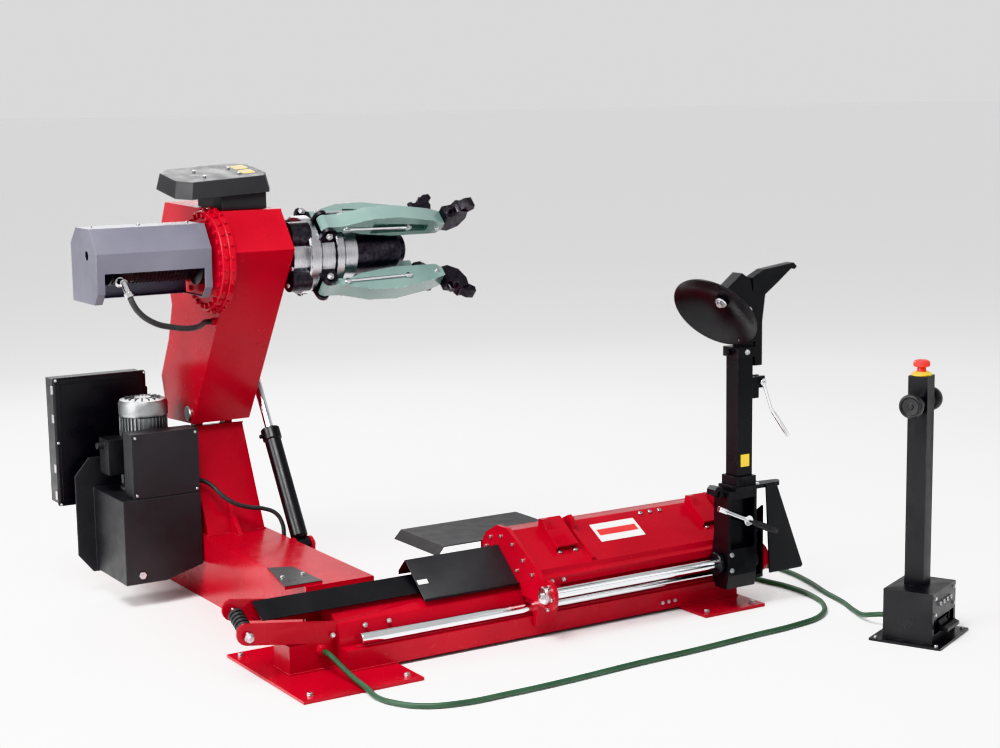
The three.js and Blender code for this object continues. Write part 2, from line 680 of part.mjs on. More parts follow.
// The round cap on the left end plate, over the tool rod's end.
function toolRodCap() {
  const at = (x) => [x, TOOL_ROD.y, TOOL_ROD.z];
  return rod(at(CARRIAGE_LEFT - 16), at(CARRIAGE_LEFT + 1), 32, 24);
}

function toolRod() {
  const at = (x) => [x, TOOL_ROD.y, TOOL_ROD.z];
  return rod(at(CARRIAGE_LEFT + 1 + GAP), at(CARRIAGE_RIGHT + 6), TOOL_ROD.r, 24);
}

// The slope of the carriage's front panel, as a direction down it and a normal out of it.
const PANEL_TOP = [-20, 372];
const PANEL_SLOPE = Math.atan2(372 - 263, 208 - 20);

function onPanel(down, out) {
  return [PANEL_TOP[0] - down * Math.cos(PANEL_SLOPE) - out * Math.sin(PANEL_SLOPE),
    PANEL_TOP[1] - down * Math.sin(PANEL_SLOPE) + out * Math.cos(PANEL_SLOPE)];
}

function latchBracket(x0, x1) {
  const outline = [onPanel(140, -2), onPanel(8, -2), onPanel(-6, 34), onPanel(60, 30), onPanel(140, 24)];
  const hook = prismX([onPanel(8, -2), onPanel(-6, 34), onPanel(20, 52), onPanel(60, 24), onPanel(60,
      -2)], x0, x0 + 22);
  const pocket = prismX([onPanel(150, 0), onPanel(70, 0), onPanel(84, 16), onPanel(150, 16)],
      x0 + 8, x1 - 8);
  return cut(join(prismX(outline, x0, x1), hook), pocket);
}

function saddleStrap(x0, x1) {
  const strap = [onPanel(212, -2), onPanel(0, -2), onPanel(-14, 12), onPanel(10, 46), onPanel(34, 44),
    onPanel(58, 14), onPanel(212, 14)];
  return prismX(strap, x0, x1);
}

function hood() {
  const path = [[-104, 200], [-100, 192], [40, 311], [90, 262], [90, 246]];
  return prismX(sheet(path, -3), 345, CARRIAGE_LEFT - GAP);
}

function rearTray() {
  const top = box(575, 1100, 152.6, 484, 300, 304);
  const lip = prismY([[575, 304], [575, 300], [548, 268], [544, 271]], 152.6, 484);
  const back = box(575, 1100, 480, 484, 282, 302);
  return join(top, lip, back);
}

// ---------------------------------------------------------------- tool unit

function toolSleeve() {
  const at = (x) => [x, TOOL_ROD.y, TOOL_ROD.z];
  const body = join(rod(at(1500), at(1520), 43, 24), rod(at(1515), at(1668), 33, 24), rod(at(1664),
      at(1684), 43, 24));
  return cut(body, rod(at(1490), at(1690), TOOL_ROD.r + 0.8, 24));
}

function toolArmBody() {
  const side = [[-322, 96], [-256, 96], [-236, 140], [-236, 236], [-246, 300], [-246, 472], [-334, 472],
      [-334, 150]];
  const outer = prismX(side, 1524, 1660);
  const bore = rod([1500, TOOL_ROD.y, TOOL_ROD.z], [1700, TOOL_ROD.y, TOOL_ROD.z], 33.8, 24);
  const wing = prismX([[-322, 120], [-236, 120], [-236, 330], [-322, 400]], 1690, 1702);
  const tie = box(1650, 1700, -322, -296, 300, 330);
  const pocket = box(1536, 1648, -340, -300, 250, 440);
  return cut(join(outer, wing, tie, box(1650, 1700, -322, -296, 120, 134)), bore, pocket,
    rod([1685, TOOL_ROD.y, TOOL_ROD.z], [1710, TOOL_ROD.y, TOOL_ROD.z], 32, 24));
}

function toolTopPlate() {
  const plan = [[1552, -346], [1760, -346], [1782, -320], [1782, -300], [1700, -290], [1690, -236],
      [1552, -236]];
  return prismZ(plan, 472.4, 488);
}

function sidePlate() {
  return prismY([[1690, 484], [1742, 484], [1876, 148], [1868, 139], [1712, 139]], -352, -344);
}

function postSocket() {
  const outer = box(POST.x - 46, POST.x + 46, POST.y - 46, POST.y + 46, 486, 524);
  const half = POST.side / 2 + GAP;
  return cut(outer, box(POST.x - half, POST.x + half, POST.y - half, POST.y + half, 496, 540));
}

function toolPost() {
  const half = POST.side / 2;
  const outer = box(POST.x - half, POST.x + half, POST.y - half, POST.y + half, 496.4, POST.top);
  const inner = box(POST.x - half + 5, POST.x + half - 5, POST.y - half + 5, POST.y + half - 5, 490,
      POST.top - 6);
  return join(cut(outer, inner), headLockBlock());
}

function tipHook() {
  const hook = [[1490, 452], [1516, 452], [1526, 440], [1526, 466], [1506, 492], [1484, 496],
      [1470, 484], [1470, 462],
    [1482, 462], [1486, 478], [1498, 474]];
  return prismY(hook, -318, -270);
}

function tiltLever() {
  const boss = rod([1585, -380, 365], [1585, -300.4, 365], 20, 16);
  const bar = rod([1452, -372, 425], [1590, -372, 363], 8, 10);
  const grip = rod([1585, -372, 365], [1720, -377, 306], 13, 12);
  return join(boss, bar, grip);
}

const LOCK = { x: 1696, z: 872 };   // the lock lever's pin, on the post's right side

function headLockBlock() {
  const half = POST.side / 2;
  const ear = (y0) => box(POST.x + half + 30, LOCK.x + 16, y0, y0 + 14, 850, 894);
  const hole = rod([LOCK.x, -330, LOCK.z], [LOCK.x, -250, LOCK.z], 6 + GAP, 12);
  return cut(join(box(POST.x + half - 2, POST.x + half + 40, -314, -266, 812, 892), ear(-314),
      ear(-280)), hole);
}

function headLockLever() {
  const pin = rod([LOCK.x, -328, LOCK.z], [LOCK.x, -258, LOCK.z], 6, 12);
  const cam = rod([LOCK.x, -299.4, LOCK.z], [LOCK.x, -280.6, LOCK.z], 11, 16);
  const eye = rod([LOCK.x, -328, LOCK.z], [LOCK.x, -315, LOCK.z], 14, 16);
  const upper = rod([LOCK.x, -322, LOCK.z], [1736, -322, 765], 7, 12);
  const lower = rod([1735, -322, 767], [1822, -322, 652], 9, 12);
  return join(pin, cam, eye, upper, lower);
}

function toolHead() {
  const cap = box(POST.x - 44, POST.x + 44, POST.y - 44, POST.y + 44, POST.top + GAP, 1012);
  const upright = prismY([[1598, 1005], [1652, 1005], [1652, 1195], [1636, 1262], [1596, 1288],
    [1529, 1237], [1568, 1190], [1598, 1170]], -318, -262);
  const clamp = rod([1548, -290, 994], [1566, -290, 994], 12, 6);
  return cut(join(cap, upright, clamp), rod(discPoint(90), discPoint(184), 15 + GAP, 16));
}

function hookTool() {
  const outline = [[1652.4, 1030], [1662, 1030], [1662, 935], [1700, 935], [1700, 1100], [1714, 1200],
      [1772, 1240], [1840, 1290],
    [1856, 1286], [1868, 1296], [1852, 1312], [1706, 1294], [1652.4, 1268]];
  return prismY(outline, -312, -268);
}

// A point on the disc's axis, a distance behind the rim's plane.
function discPoint(back) {
  const axis = v3(DISC_AXIS).normalize();
  return v3(DISC_CENTRE).addScaledVector(axis, -back).toArray();
}

function beadDisc() {
  const profile = [[15.6, 62], [40, 60], [88, 44], [132, 20], [DISC_RADIUS - 4, -2], [DISC_RADIUS, 2],
      [136, 27],
    [92, 51], [42, 68], [34, 92], [15.6, 92], [15.6, 62]];
  return turned(profile, DISC_CENTRE, DISC_AXIS.map((c) => -c), 24);
}

function discAxle() {
  return join(rod(discPoint(52), discPoint(180), 15, 20), rod(discPoint(46), discPoint(59), 24, 20));
}

// ---------------------------------------------------------------- pedestal

// Pieces made about the pedestal's own centre are turned and moved to where it stands.
function onPedestal(geometry) {
  return geometry.rotateZ(rad(PEDESTAL.turn)).translate(PEDESTAL.x, PEDESTAL.y, 0);
}

function pedestalBox() {
  const outer = box(-120, 120, -92, 92, 8.4, 190);
  const hollow = box(-116, 116, -88, 88, 0, 186);
  const slot = box(-100, 100, -110, -80, 40, 92);
  const lug = (x0) => box(x0, x0 + 8, -90, -62, 94, 104);
  const hanger = (x0) => box(x0, x0 + 8, -86, -64, 58, 100);
  const pinHole = rod([-90, -76, 72], [90, -76, 72], 6 + GAP, 12);
  return cut(join(cut(outer, hollow, slot), lug(-74), lug(66), hanger(-74), hanger(66)), pinHole);
}

function footPedal(x0, x1) {
  const pad = prismX([[-128, 46], [-84, 46], [-84, 58], [-112, 64], [-128, 58]], x0, x1);
  const hinge = rod([x0 - 16, -76, 72], [x1 + 16, -76, 72], 6, 12);
  return join(pad, hinge, prismX([[-90, 46], [-70, 62], [-70, 78], [-84, 76], [-96, 58]],
      x0 + 20, x1 - 20));
}

function pedestalPost() {
  const outer = box(-36, 36, -26, 46, 188, 950);
  return cut(outer, box(-32, 32, -22, 42, 180, 945));
}

function knobMount(side) {
  return rod([side * 34, 10, 852], [side * 60, 10, 852], 32, 20);
}

function pedestalStand() {
  const plate = box(-150, 150, -133, 133, 0, 9);
  const mounts = join(knobMount(-1), knobMount(1), stopCollar(), pedestalGland());
  const stand = join(plate, pedestalBox(), pedestalPost(), mounts);
  return cut(stand, box(-32, 32, -22, 42, 180, 940));
}

function pedestalGland() {
  return turned([[0, 0], [20, 0], [20, 10], [15, 14], [14, 32], [0, 32]], [30, 90, 48], [0, 1, 0], 12);
}

function controlKnob(side) {
  const at = (d) => [side * d, 10, 852];
  const profile = [[0, 0], [13, 0], [13, 12], [38, 18], [43, 26], [43, 44], [38, 50], [0, 52]];
  return turned(profile, at(60.4), [side, 0, 0], 24);
}

function stopCollar() {
  return turned([[16.4, 0], [34, 0], [34, 8], [22, 14], [16.4, 14], [16.4, 0]], [0, 10, 949], [0, 0, 1],
      24);
}

function stopButton() {
  return turned([[0, 3], [16, 3], [16, 20], [14, 24], [27, 26], [30, 32], [28, 44], [18, 50], [0, 51]],
      [0, 10, 955], [0, 0, 1], 24);
}

// ---------------------------------------------------------------- control cable

const CABLE_RADIUS = 10;
const CABLE_ROUTE = [
  [-60, -118.4, 82], [-60, -145, 82], [-56, -190, 70], [-50, -240, 52], [-43, -310, 32], [-40, -380, 22],
  [-40, -450, 11], [-20, -530, 10.5], [40, -610, 10.5], [150, -655, 10.5], [330, -665, 10.5],
  [560, -662, 10.5], [880, -642, 10.5], [1140, -634, 10.5], [1420, -615, 10.5], [1620, -602, 10.5],
  [1770, -566, 10.5], [1880, -470, 10.5], [1936, -340, 10.5], [1950, -180, 10.5], [1925, -20, 10.5],
  [1930, 120, 10.5], [2010, 190, 10.5], [2090, 130, 10.5], [2100, 0, 10.5], [2070, -160, 10.5],
  [2010, -340, 10.5], [1975, -470, 10.5], [1930, -580, 11], [1886, -680, 24], [1876, -738, 40],
  [1888.63, -776.01, 48], [1900.46, -801.39, 48],
];

// ---------------------------------------------------------------- build

add('bed_frame', bedFrame(), RED);
add('left_foot_plate', footPlate(-260, 192, -361), RED);
add('right_foot_plate', footPlate(1428, 1716, -320), RED);
add('lower_guide_rod', rod([62, LOWER_ROD.y, LOWER_ROD.z], [BED_LENGTH - 20, LOWER_ROD.y, LOWER_ROD.z],
    LOWER_ROD.r, 24), CHROME);
add('rear_guide_rod', rod([266, REAR_ROD.y, REAR_ROD.z], [BED_LENGTH, REAR_ROD.y, REAR_ROD.z],
    REAR_ROD.r, 24), CHROME);
add('belt_roller', beltRoller(), BLACK);
add('roller_pin', beltPin(), STEEL);
add('deck_belt', deckBelt(), BLACK);
add('base_beam', join(baseBeam(), cylinderBracket(), beltBracket(), hoseUnion()), RED);
add('tower', tower(), RED);

add('lift_arm', join(liftArm(), liftLug(), armUnion()), RED);
add('arm_pivot_pin', pivotPin(), STEEL);
add('gear_rings', join(gearRing(-20, ARM.x0 - GAP, 196, 12, 0), gearRing(-46, -19, 188, 12, 15)), RED);
add('spindle_motor', join(spindleMotor(), hoseElbow()), BLACK);
add('motor_cover', motorCover(), GREY_SHEET);
add('motor_hose', motorHose(), RUBBER);
add('top_guard', join(topGuard(), guardBase()), DARK_SHEET);

const jaws = Array.from({ length: JAW_COUNT }, (_, i) => i);
add('chuck_body', join(chuckBody(), ...jaws.map(chuckBoss), ...jaws.map(jawCarrier)), STEEL);
add('chuck_core', chuckCore(), BLACK);
for (const i of jaws) {
  add(`jaw_arm_${i + 1}`, jawArm(i), TEAL);
  add(`jaw_tip_${i + 1}`, jawTip(i), BLACK);
}

add('cylinder_barrel', cylinderBarrel(), BLACK);
add('cylinder_rod', cylinderRod(), CHROME);
add('cylinder_pin', cylinderPin(), STEEL);

add('oil_tank', join(oilTank(), tankPlate()), BLACK);
add('valve_cover', valveCover(), BLACK);
add('pump_motor', join(pumpMotor(), motorFanCap()), ALUMINIUM);
add('valve_block', valveBlock(), ALUMINIUM);
add('terminal_box', join(terminalBox(), terminalGland()), BLACK);
add('electrical_box', join(electricalBox(), boxBracket()), BLACK);
add('electrical_cover', electricalCover(), BLACK);
add('lift_hose', liftHose(), RUBBER);

add('carriage_shell', carriageShell(), RED);
add('left_end_plate', endPlate(CARRIAGE_LEFT, 1), RED);
add('right_end_plate', endPlate(CARRIAGE_RIGHT - FLANGE_THICK, -1), RED);
add('tool_rod', toolRod(), CHROME);
add('hood', hood(), BLACK);
add('rear_tray', rearTray(), DARK_SHEET);

add('tool_sleeve', toolSleeve(), RED);
add('tool_arm_body', join(toolArmBody(), tipHook()), BLACK);
add('tool_top_plate', join(toolTopPlate(), sidePlate(), postSocket()), BLACK);
add('tool_post', toolPost(), BLACK);
add('tilt_lever', tiltLever(), CHROME);
add('head_lock_lever', headLockLever(), CHROME);
add('tool_head', toolHead(), BLACK);
add('hook_tool', hookTool(), BLACK);
add('bead_disc', beadDisc(), BLACK);
add('disc_axle', discAxle(), STEEL);

add('pedestal_stand', onPedestal(pedestalStand()), BLACK);
add('foot_pedal', onPedestal(footPedal(-60, 60)), BLACK);
add('joystick_knob', onPedestal(controlKnob(-1)), BLACK);
add('selector_knob', onPedestal(controlKnob(1)), BLACK);
add('stop_button', onPedestal(stopButton()), STOP_RED);
add('control_cable', hose(CABLE_ROUTE, CABLE_RADIUS, 76), CABLE);

export default machine;
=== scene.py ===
import json
import math

import bmesh
import bpy
from mathutils import Matrix, Quaternion, Vector


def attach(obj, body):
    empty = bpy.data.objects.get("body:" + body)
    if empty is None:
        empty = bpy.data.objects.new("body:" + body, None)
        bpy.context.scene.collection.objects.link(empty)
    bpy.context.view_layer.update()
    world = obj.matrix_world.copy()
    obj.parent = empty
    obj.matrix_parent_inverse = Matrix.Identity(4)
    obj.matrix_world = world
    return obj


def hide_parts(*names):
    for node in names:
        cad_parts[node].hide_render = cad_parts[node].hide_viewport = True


# Looks of the heavy-duty tyre changer. Points and sizes of pieces are in millimetres, and mm() turns them
# to metres. Materials, the camera and the lights are in metres.

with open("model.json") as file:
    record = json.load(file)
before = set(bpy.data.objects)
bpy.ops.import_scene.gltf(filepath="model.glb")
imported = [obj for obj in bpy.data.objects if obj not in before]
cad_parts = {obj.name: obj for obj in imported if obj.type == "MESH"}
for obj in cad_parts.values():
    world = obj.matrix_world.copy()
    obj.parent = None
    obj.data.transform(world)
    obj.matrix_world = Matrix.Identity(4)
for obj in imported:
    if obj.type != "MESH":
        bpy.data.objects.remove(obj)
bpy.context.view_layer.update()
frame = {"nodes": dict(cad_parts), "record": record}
MM = 0.001


def mm(*point):
    return Vector(point) * MM


# ---------------------------------------------------------------- camera and cord

def photo_camera():
    """The photo's camera, as fitted to the machine's parallel rods and posts."""
    yaw, pitch, roll = (math.radians(a) for a in (31.93, 8.66, 0.82))
    place = (-2.730, -5.558, 1.950)
    forward = Vector((math.sin(yaw) * math.cos(pitch), math.cos(yaw) * math.cos(pitch), -math.sin(pitch)))
    right = Vector((math.cos(yaw), -math.sin(yaw), 0))
    down = forward.cross(right)
    rolled_right = math.cos(roll) * right + math.sin(roll) * down
    rolled_down = math.cos(roll) * down - math.sin(roll) * right
    camera = bpy.data.objects.new("camera", bpy.data.cameras.new("camera"))
    bpy.context.scene.collection.objects.link(camera)
    turn = Matrix((rolled_right, -rolled_down, -forward)).transposed()
    camera.matrix_world = Matrix.Translation(place) @ turn.to_4x4()
    camera.data.lens = 65.88
    camera.data.sensor_width = 36
    camera.data.clip_end = 400
    bpy.context.scene.camera = camera


photo_camera()

CABLE_ROUTE = [
    (-60, -118.4, 82), (-60, -145, 82), (-56, -190, 70), (-50, -240, 52), (-43, -310, 32), (-40, -380, 22),
    (-40, -450, 11), (-20, -530, 10.5), (40, -610, 10.5), (150, -655, 10.5), (330, -665, 10.5),
    (560, -662, 10.5), (880, -642, 10.5), (1140, -634, 10.5), (1420, -615, 10.5), (1620, -602, 10.5),
    (1770, -566, 10.5), (1880, -470, 10.5), (1936, -340, 10.5), (1950, -180, 10.5), (1925, -20, 10.5),
    (1930, 120, 10.5), (2010, 190, 10.5), (2090, 130, 10.5), (2100, 0, 10.5), (2070, -160, 10.5),
    (2010, -340, 10.5), (1975, -470, 10.5), (1930, -580, 11), (1886, -680, 24), (1876, -738, 40),
    (1888.63, -776.01, 48), (1900.46, -801.39, 48),
]
CABLE_DIAMETER = 0.020


# ---------------------------------------------------------------- materials

def nodes_of(name):
    material = bpy.data.materials.new(name)
    material.use_nodes = True
    tree = material.node_tree
    return material, tree, tree.nodes["Principled BSDF"]


def noise(tree, scale, detail=4.0, stretch=(1, 1, 1)):
    coordinates = tree.nodes.new("ShaderNodeTexCoord")
    mapping = tree.nodes.new("ShaderNodeMapping")
    mapping.inputs["Scale"].default_value = stretch
    texture = tree.nodes.new("ShaderNodeTexNoise")
    texture.inputs["Scale"].default_value = scale
    texture.inputs["Detail"].default_value = detail
    tree.links.new(coordinates.outputs["Object"], mapping.inputs["Vector"])
    tree.links.new(mapping.outputs["Vector"], texture.inputs["Vector"])
    return texture.outputs["Fac"]


def span(tree, value, low, high, start=0.3, stop=0.7):
    node = tree.nodes.new("ShaderNodeMapRange")
    node.inputs["From Min"].default_value = start
    node.inputs["From Max"].default_value = stop
    node.inputs["To Min"].default_value = low
    node.inputs["To Max"].default_value = high
    tree.links.new(value, node.inputs["Value"])
    return node.outputs["Result"]


def mixed(tree, factor, a, b):
    node = tree.nodes.new("ShaderNodeMix")
    node.data_type = "RGBA"
    tree.links.new(factor, node.inputs["Factor"])
    for socket, color in ((node.inputs["A"], a), (node.inputs["B"], b)):
        if isinstance(color, tuple):
            socket.default_value = (*color, 1)
        else:
            tree.links.new(color, socket)
    return node.outputs["Result"]


def bump(tree, shader, height, strength, distance):
    node = tree.nodes.new("ShaderNodeBump")
    node.inputs["Strength"].default_value = strength
    node.inputs["Distance"].default_value = distance
    tree.links.new(height, node.inputs["Height"])
    tree.links.new(node.outputs["Normal"], shader.inputs["Normal"])


def wear_mask(tree, radius):
    """Bright along edges: where the rounded normal leaves the true one, broken up by noise."""
    rounded = tree.nodes.new("ShaderNodeBevel")
    rounded.inputs["Radius"].default_value = radius
    rounded.samples = 4
    true = tree.nodes.new("ShaderNodeNewGeometry")
    dot = tree.nodes.new("ShaderNodeVectorMath")
    dot.operation = "DOT_PRODUCT"
    tree.links.new(rounded.outputs["Normal"], dot.inputs[0])
    tree.links.new(true.outputs["Normal"], dot.inputs[1])
    edge = span(tree, dot.outputs["Value"], 1.0, 0.0, 0.80, 0.97)
    patches = span(tree, noise(tree, 38, 6), 0.0, 1.0, 0.50, 0.66)
    product = tree.nodes.new("ShaderNodeMath")
    product.operation = "MULTIPLY"
    tree.links.new(edge, product.inputs[0])
    tree.links.new(patches, product.inputs[1])
    return product.outputs["Value"]


def paint(name, deep, light, rough=(0.28, 0.42), coat=0.0, peel=260, peel_height=0.0003, worn=None,
          shine=0.5):
    """Powder coat: slow colour change, orange peel, and edges rubbed towards another colour."""
    material, tree, shader = nodes_of(name)
    slow = span(tree, noise(tree, 3.1, 5), 0, 1)
    color = mixed(tree, slow, deep, light)
    if worn:
        color = mixed(tree, wear_mask(tree, 0.004), color, worn)
    tree.links.new(color, shader.inputs["Base Color"])
    tree.links.new(span(tree, noise(tree, 17, 7), *rough), shader.inputs["Roughness"])
    shader.inputs["Specular IOR Level"].default_value = shine
    shader.inputs["Coat Weight"].default_value = coat
    shader.inputs["Coat Roughness"].default_value = 0.12
    bump(tree, shader, noise(tree, peel, 2), 0.35, peel_height)
    return material


def metal(name, dark, light, rough, stretch=(1, 1, 1), scale=60, depth=0.00008, strength=0.3):
    """Bare metal with fine machining marks along one direction."""
    material, tree, shader = nodes_of(name)
    shader.inputs["Metallic"].default_value = 1.0
    marks = noise(tree, scale, 5, stretch)
    tree.links.new(mixed(tree, span(tree, marks, 0, 1), dark, light), shader.inputs["Base Color"])
    tree.links.new(span(tree, noise(tree, 14, 6), *rough), shader.inputs["Roughness"])
    bump(tree, shader, marks, strength, depth)
    return material


def plastic(name, deep, light, rough=(0.4, 0.55), grain=900, height=0.0001, sheen=0.0):
    material, tree, shader = nodes_of(name)
    color = mixed(tree, span(tree, noise(tree, 9, 4), 0, 1), deep, light)
    tree.links.new(color, shader.inputs["Base Color"])
    tree.links.new(span(tree, noise(tree, 26, 4), *rough), shader.inputs["Roughness"])
    shader.inputs["Sheen Weight"].default_value = sheen
    bump(tree, shader, noise(tree, grain, 2), 0.4, height)
    return material


RED = paint("red powder coat", (0.27, 0.004, 0.010), (0.36, 0.007, 0.016), (0.18, 0.30), 0.10,
            worn=(0.16, 0.02, 0.02), shine=0.22)
BLACK = paint("black powder coat", (0.005, 0.005, 0.006), (0.011, 0.011, 0.012), (0.26, 0.42), 0.06,
              worn=(0.05, 0.05, 0.05), shine=0.32)
TEXTURED = paint("textured charcoal coat", (0.012, 0.012, 0.013), (0.022, 0.022, 0.024), (0.44, 0.60),
                 0.0, 420, 0.0007, worn=(0.06, 0.06, 0.065), shine=0.4)
GREY = paint("blue-grey coat", (0.085, 0.083, 0.108), (0.125, 0.122, 0.152), (0.34, 0.48), 0.1,
             worn=(0.24, 0.24, 0.26))
CHROME = metal("hard chrome", (0.62, 0.63, 0.65), (0.80, 0.81, 0.83), (0.06, 0.17), (0.15, 6, 6), 220)
STEEL = metal("machined steel", (0.34, 0.34, 0.36), (0.56, 0.56, 0.58), (0.20, 0.36), (8, 0.3, 0.3), 90)
ZINC = metal("zinc plated steel", (0.42, 0.42, 0.44), (0.64, 0.64, 0.64), (0.24, 0.38), (1, 1, 1), 150)
ALUMINIUM = metal("cast aluminium", (0.26, 0.265, 0.27), (0.40, 0.405, 0.41), (0.36, 0.52), (1, 1, 1),
                  380, 0.0004, 0.5)
DARK_STEEL = metal("blackened steel", (0.035, 0.033, 0.037), (0.075, 0.070, 0.078), (0.30, 0.48))
TEAL = paint("grey-green coat", (0.105, 0.165, 0.152), (0.17, 0.245, 0.225), (0.12, 0.24), 0.6, 120, 0.0001,
             worn=(0.50, 0.55, 0.54))
PLASTIC = plastic("black moulding", (0.008, 0.008, 0.009), (0.014, 0.014, 0.015))
RUBBER = plastic("hose rubber", (0.006, 0.006, 0.007), (0.016, 0.016, 0.017), (0.55, 0.75), 420,
                 0.0004, 0.1)
GREEN = plastic("green sheath", (0.012, 0.045, 0.020), (0.026, 0.072, 0.036), (0.38, 0.55), 300, 0.0003)
STOP_RED = plastic("stop button red", (0.62, 0.020, 0.010), (0.70, 0.030, 0.014), (0.18, 0.30), 700,
                   0.00003)
YELLOW = plastic("yellow label", (0.72, 0.50, 0.02), (0.80, 0.58, 0.04), (0.30, 0.45), 700, 0.00003)
WHITE = plastic("white label", (0.72, 0.71, 0.70), (0.80, 0.79, 0.78), (0.35, 0.50), 700, 0.00003)
LABEL_RED = plastic("red label band", (0.50, 0.02, 0.02), (0.58, 0.03, 0.03), (0.35, 0.50), 700, 0.00003)

NODE_BODY = {node: body for body, names in frame["record"]["behaviour"]["bodies"].items() for node in names}


# ---------------------------------------------------------------- making pieces

def from_bmesh(name, shape, material, body, smooth=35):
    """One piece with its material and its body. The shape is used up."""
    bmesh.ops.recalc_face_normals(shape, faces=shape.faces)
    mesh = bpy.data.meshes.new(name)
    shape.to_mesh(mesh)
    shape.free()
    mesh.materials.append(material)
    for face in mesh.polygons:
        face.use_smooth = True
    mesh.set_sharp_from_angle(angle=math.radians(smooth))
    piece = bpy.data.objects.new(name, mesh)
    bpy.context.scene.collection.objects.link(piece)
    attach(piece, body)
    return piece


def rounded_edges(piece, width, segments=2, angle=35):
    bevel = piece.modifiers.new("rounded edges", "BEVEL")
    bevel.width = width * MM
    bevel.segments = segments
    bevel.limit_method = "ANGLE"
    bevel.angle_limit = math.radians(angle)
    bevel.harden_normals = True
    return piece


def dress(node, material, width=1.6, segments=2, name=None):
    """A CAD node's own shape with merged flats, rounded edges and a finish, in place of the plain node."""
    weld_gap, flat_angle = 1e-5, math.radians(0.6)
    shape = bmesh.new()
    shape.from_mesh(frame["nodes"][node].data)
    bmesh.ops.remove_doubles(shape, verts=shape.verts, dist=weld_gap)
    bmesh.ops.dissolve_limit(shape, angle_limit=flat_angle, verts=shape.verts, edges=shape.edges)
    piece = from_bmesh(name or "look_" + node, shape, material, NODE_BODY[node])
    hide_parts(node)
    return rounded_edges(piece, width, segments)


def lathe_into(shape, profile, origin, axis, segments=64):
    """Adds a turned form: a profile of (radius, height) along an axis from an origin, in mm."""
    on_axis = 1e-6
    turn = Vector((0, 0, 1)).rotation_difference(Vector(axis).normalized())
    rings = []
    for radius, height in profile:
        if radius < on_axis:
            rings.append([shape.verts.new(mm(*origin) + turn @ mm(0, 0, height))])
            continue
        ring = []
        for i in range(segments):
            angle = 2 * math.pi * i / segments
            local = mm(radius * math.cos(angle), radius * math.sin(angle), height)
            ring.append(shape.verts.new(mm(*origin) + turn @ local))
        rings.append(ring)
    for low, high in zip(rings, rings[1:]):
        for i in range(segments):
            j = (i + 1) % segments
            if len(low) == 1 and len(high) == 1:
                break
            if len(low) == 1:
                shape.faces.new((low[0], high[i], high[j]))
            elif len(high) == 1:
                shape.faces.new((low[i], low[j], high[0]))
            else:
                shape.faces.new((low[i], low[j], high[j], high[i]))


def turned(name, profiles, material, body, segments=64, replaced=(), bevel=1.0):
    """One piece made of one or more turned forms: a list of (profile, origin, axis)."""
    shape = bmesh.new()
    for profile, origin, axis in profiles:
        lathe_into(shape, profile, origin, axis, segments)
    piece = from_bmesh(name, shape, material, body, 30)
    if replaced:
        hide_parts(*replaced)
    return rounded_edges(piece, bevel, 2, 40)


def bar(radius, length, chamfer=1.5):
    return [(0, 0), (radius - chamfer, 0), (radius, chamfer), (radius, length - chamfer),
            (radius - chamfer, length), (0, length)]


def block_into(shape, low, high, turn=None, about=None):
    corners = bmesh.ops.create_cube(shape, size=1.0)["verts"]
    size = mm(*(b - a for a, b in zip(low, high)))
    centre = mm(*((a + b) / 2 for a, b in zip(low, high)))
    for vertex in corners:
        vertex.co = Vector(c * s for c, s in zip(vertex.co, size)) + centre
        if turn:
            vertex.co = turn @ (vertex.co - mm(*about)) + mm(*about)


def plates(name, boxes, material, body, width=0.8, segments=3, turn=None, about=(0, 0, 0)):
    """Flat pieces with rounded edges: a list of (lowest corner, highest corner) in mm."""
    shape = bmesh.new()
    for low, high in boxes:
        block_into(shape, low, high, turn, about)
    return rounded_edges(from_bmesh(name, shape, material, body), width, segments)


def hex_bolts(name, places, size, material, body):
    """Hexagon heads on washers: each place is (point, outward direction)."""
    shape = bmesh.new()
    for point, axis in places:
        out = Vector(axis).normalized()
        base = Vector(point)
        lathe_into(shape, [(0, -1), (size * 1.15, -1), (size * 1.15, size * 0.2), (0, size * 0.2)],
                   base, out, 24)
        head = base + out * size * 0.2
        lathe_into(shape, [(0, 0), (size * 0.98, 0), (size, size * 0.06), (size, size * 0.62),
                           (size * 0.86, size * 0.75), (0, size * 0.75)], head, out, 6)
    return rounded_edges(from_bmesh(name, shape, material, body, 25), size * 0.05, 2)


def socket_screws(name, places, size, material, body):
    """Round cap screws with a hexagon recess."""
    shape = bmesh.new()
    for point, axis in places:
        lathe_into(shape, [(0, -1), (size, -1), (size, size * 0.85), (size * 0.85, size),
                           (size * 0.52, size), (size * 0.5, size * 0.35), (0, size * 0.3)],
                   point, axis, 18)
    return from_bmesh(name, shape, material, body, 30)


def tube(name, points, radius, material, body, replaced=(), sides=6):
    """A round hose along a smooth curve through the points."""
    curve = bpy.data.curves.new(name, "CURVE")
    curve.dimensions = "3D"
    curve.bevel_depth = radius * MM
    curve.bevel_resolution = sides
    curve.resolution_u = 12
    curve.use_fill_caps = True
    spline = curve.splines.new("BEZIER")
    spline.bezier_points.add(len(points) - 1)
    for control, point in zip(spline.bezier_points, points):
        control.co = mm(*point)
        control.handle_left_type = control.handle_right_type = "AUTO"
    curve.materials.append(material)
    piece = bpy.data.objects.new(name, curve)
    bpy.context.scene.collection.objects.link(piece)
    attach(piece, body)
    if replaced:
        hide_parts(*replaced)
    return piece


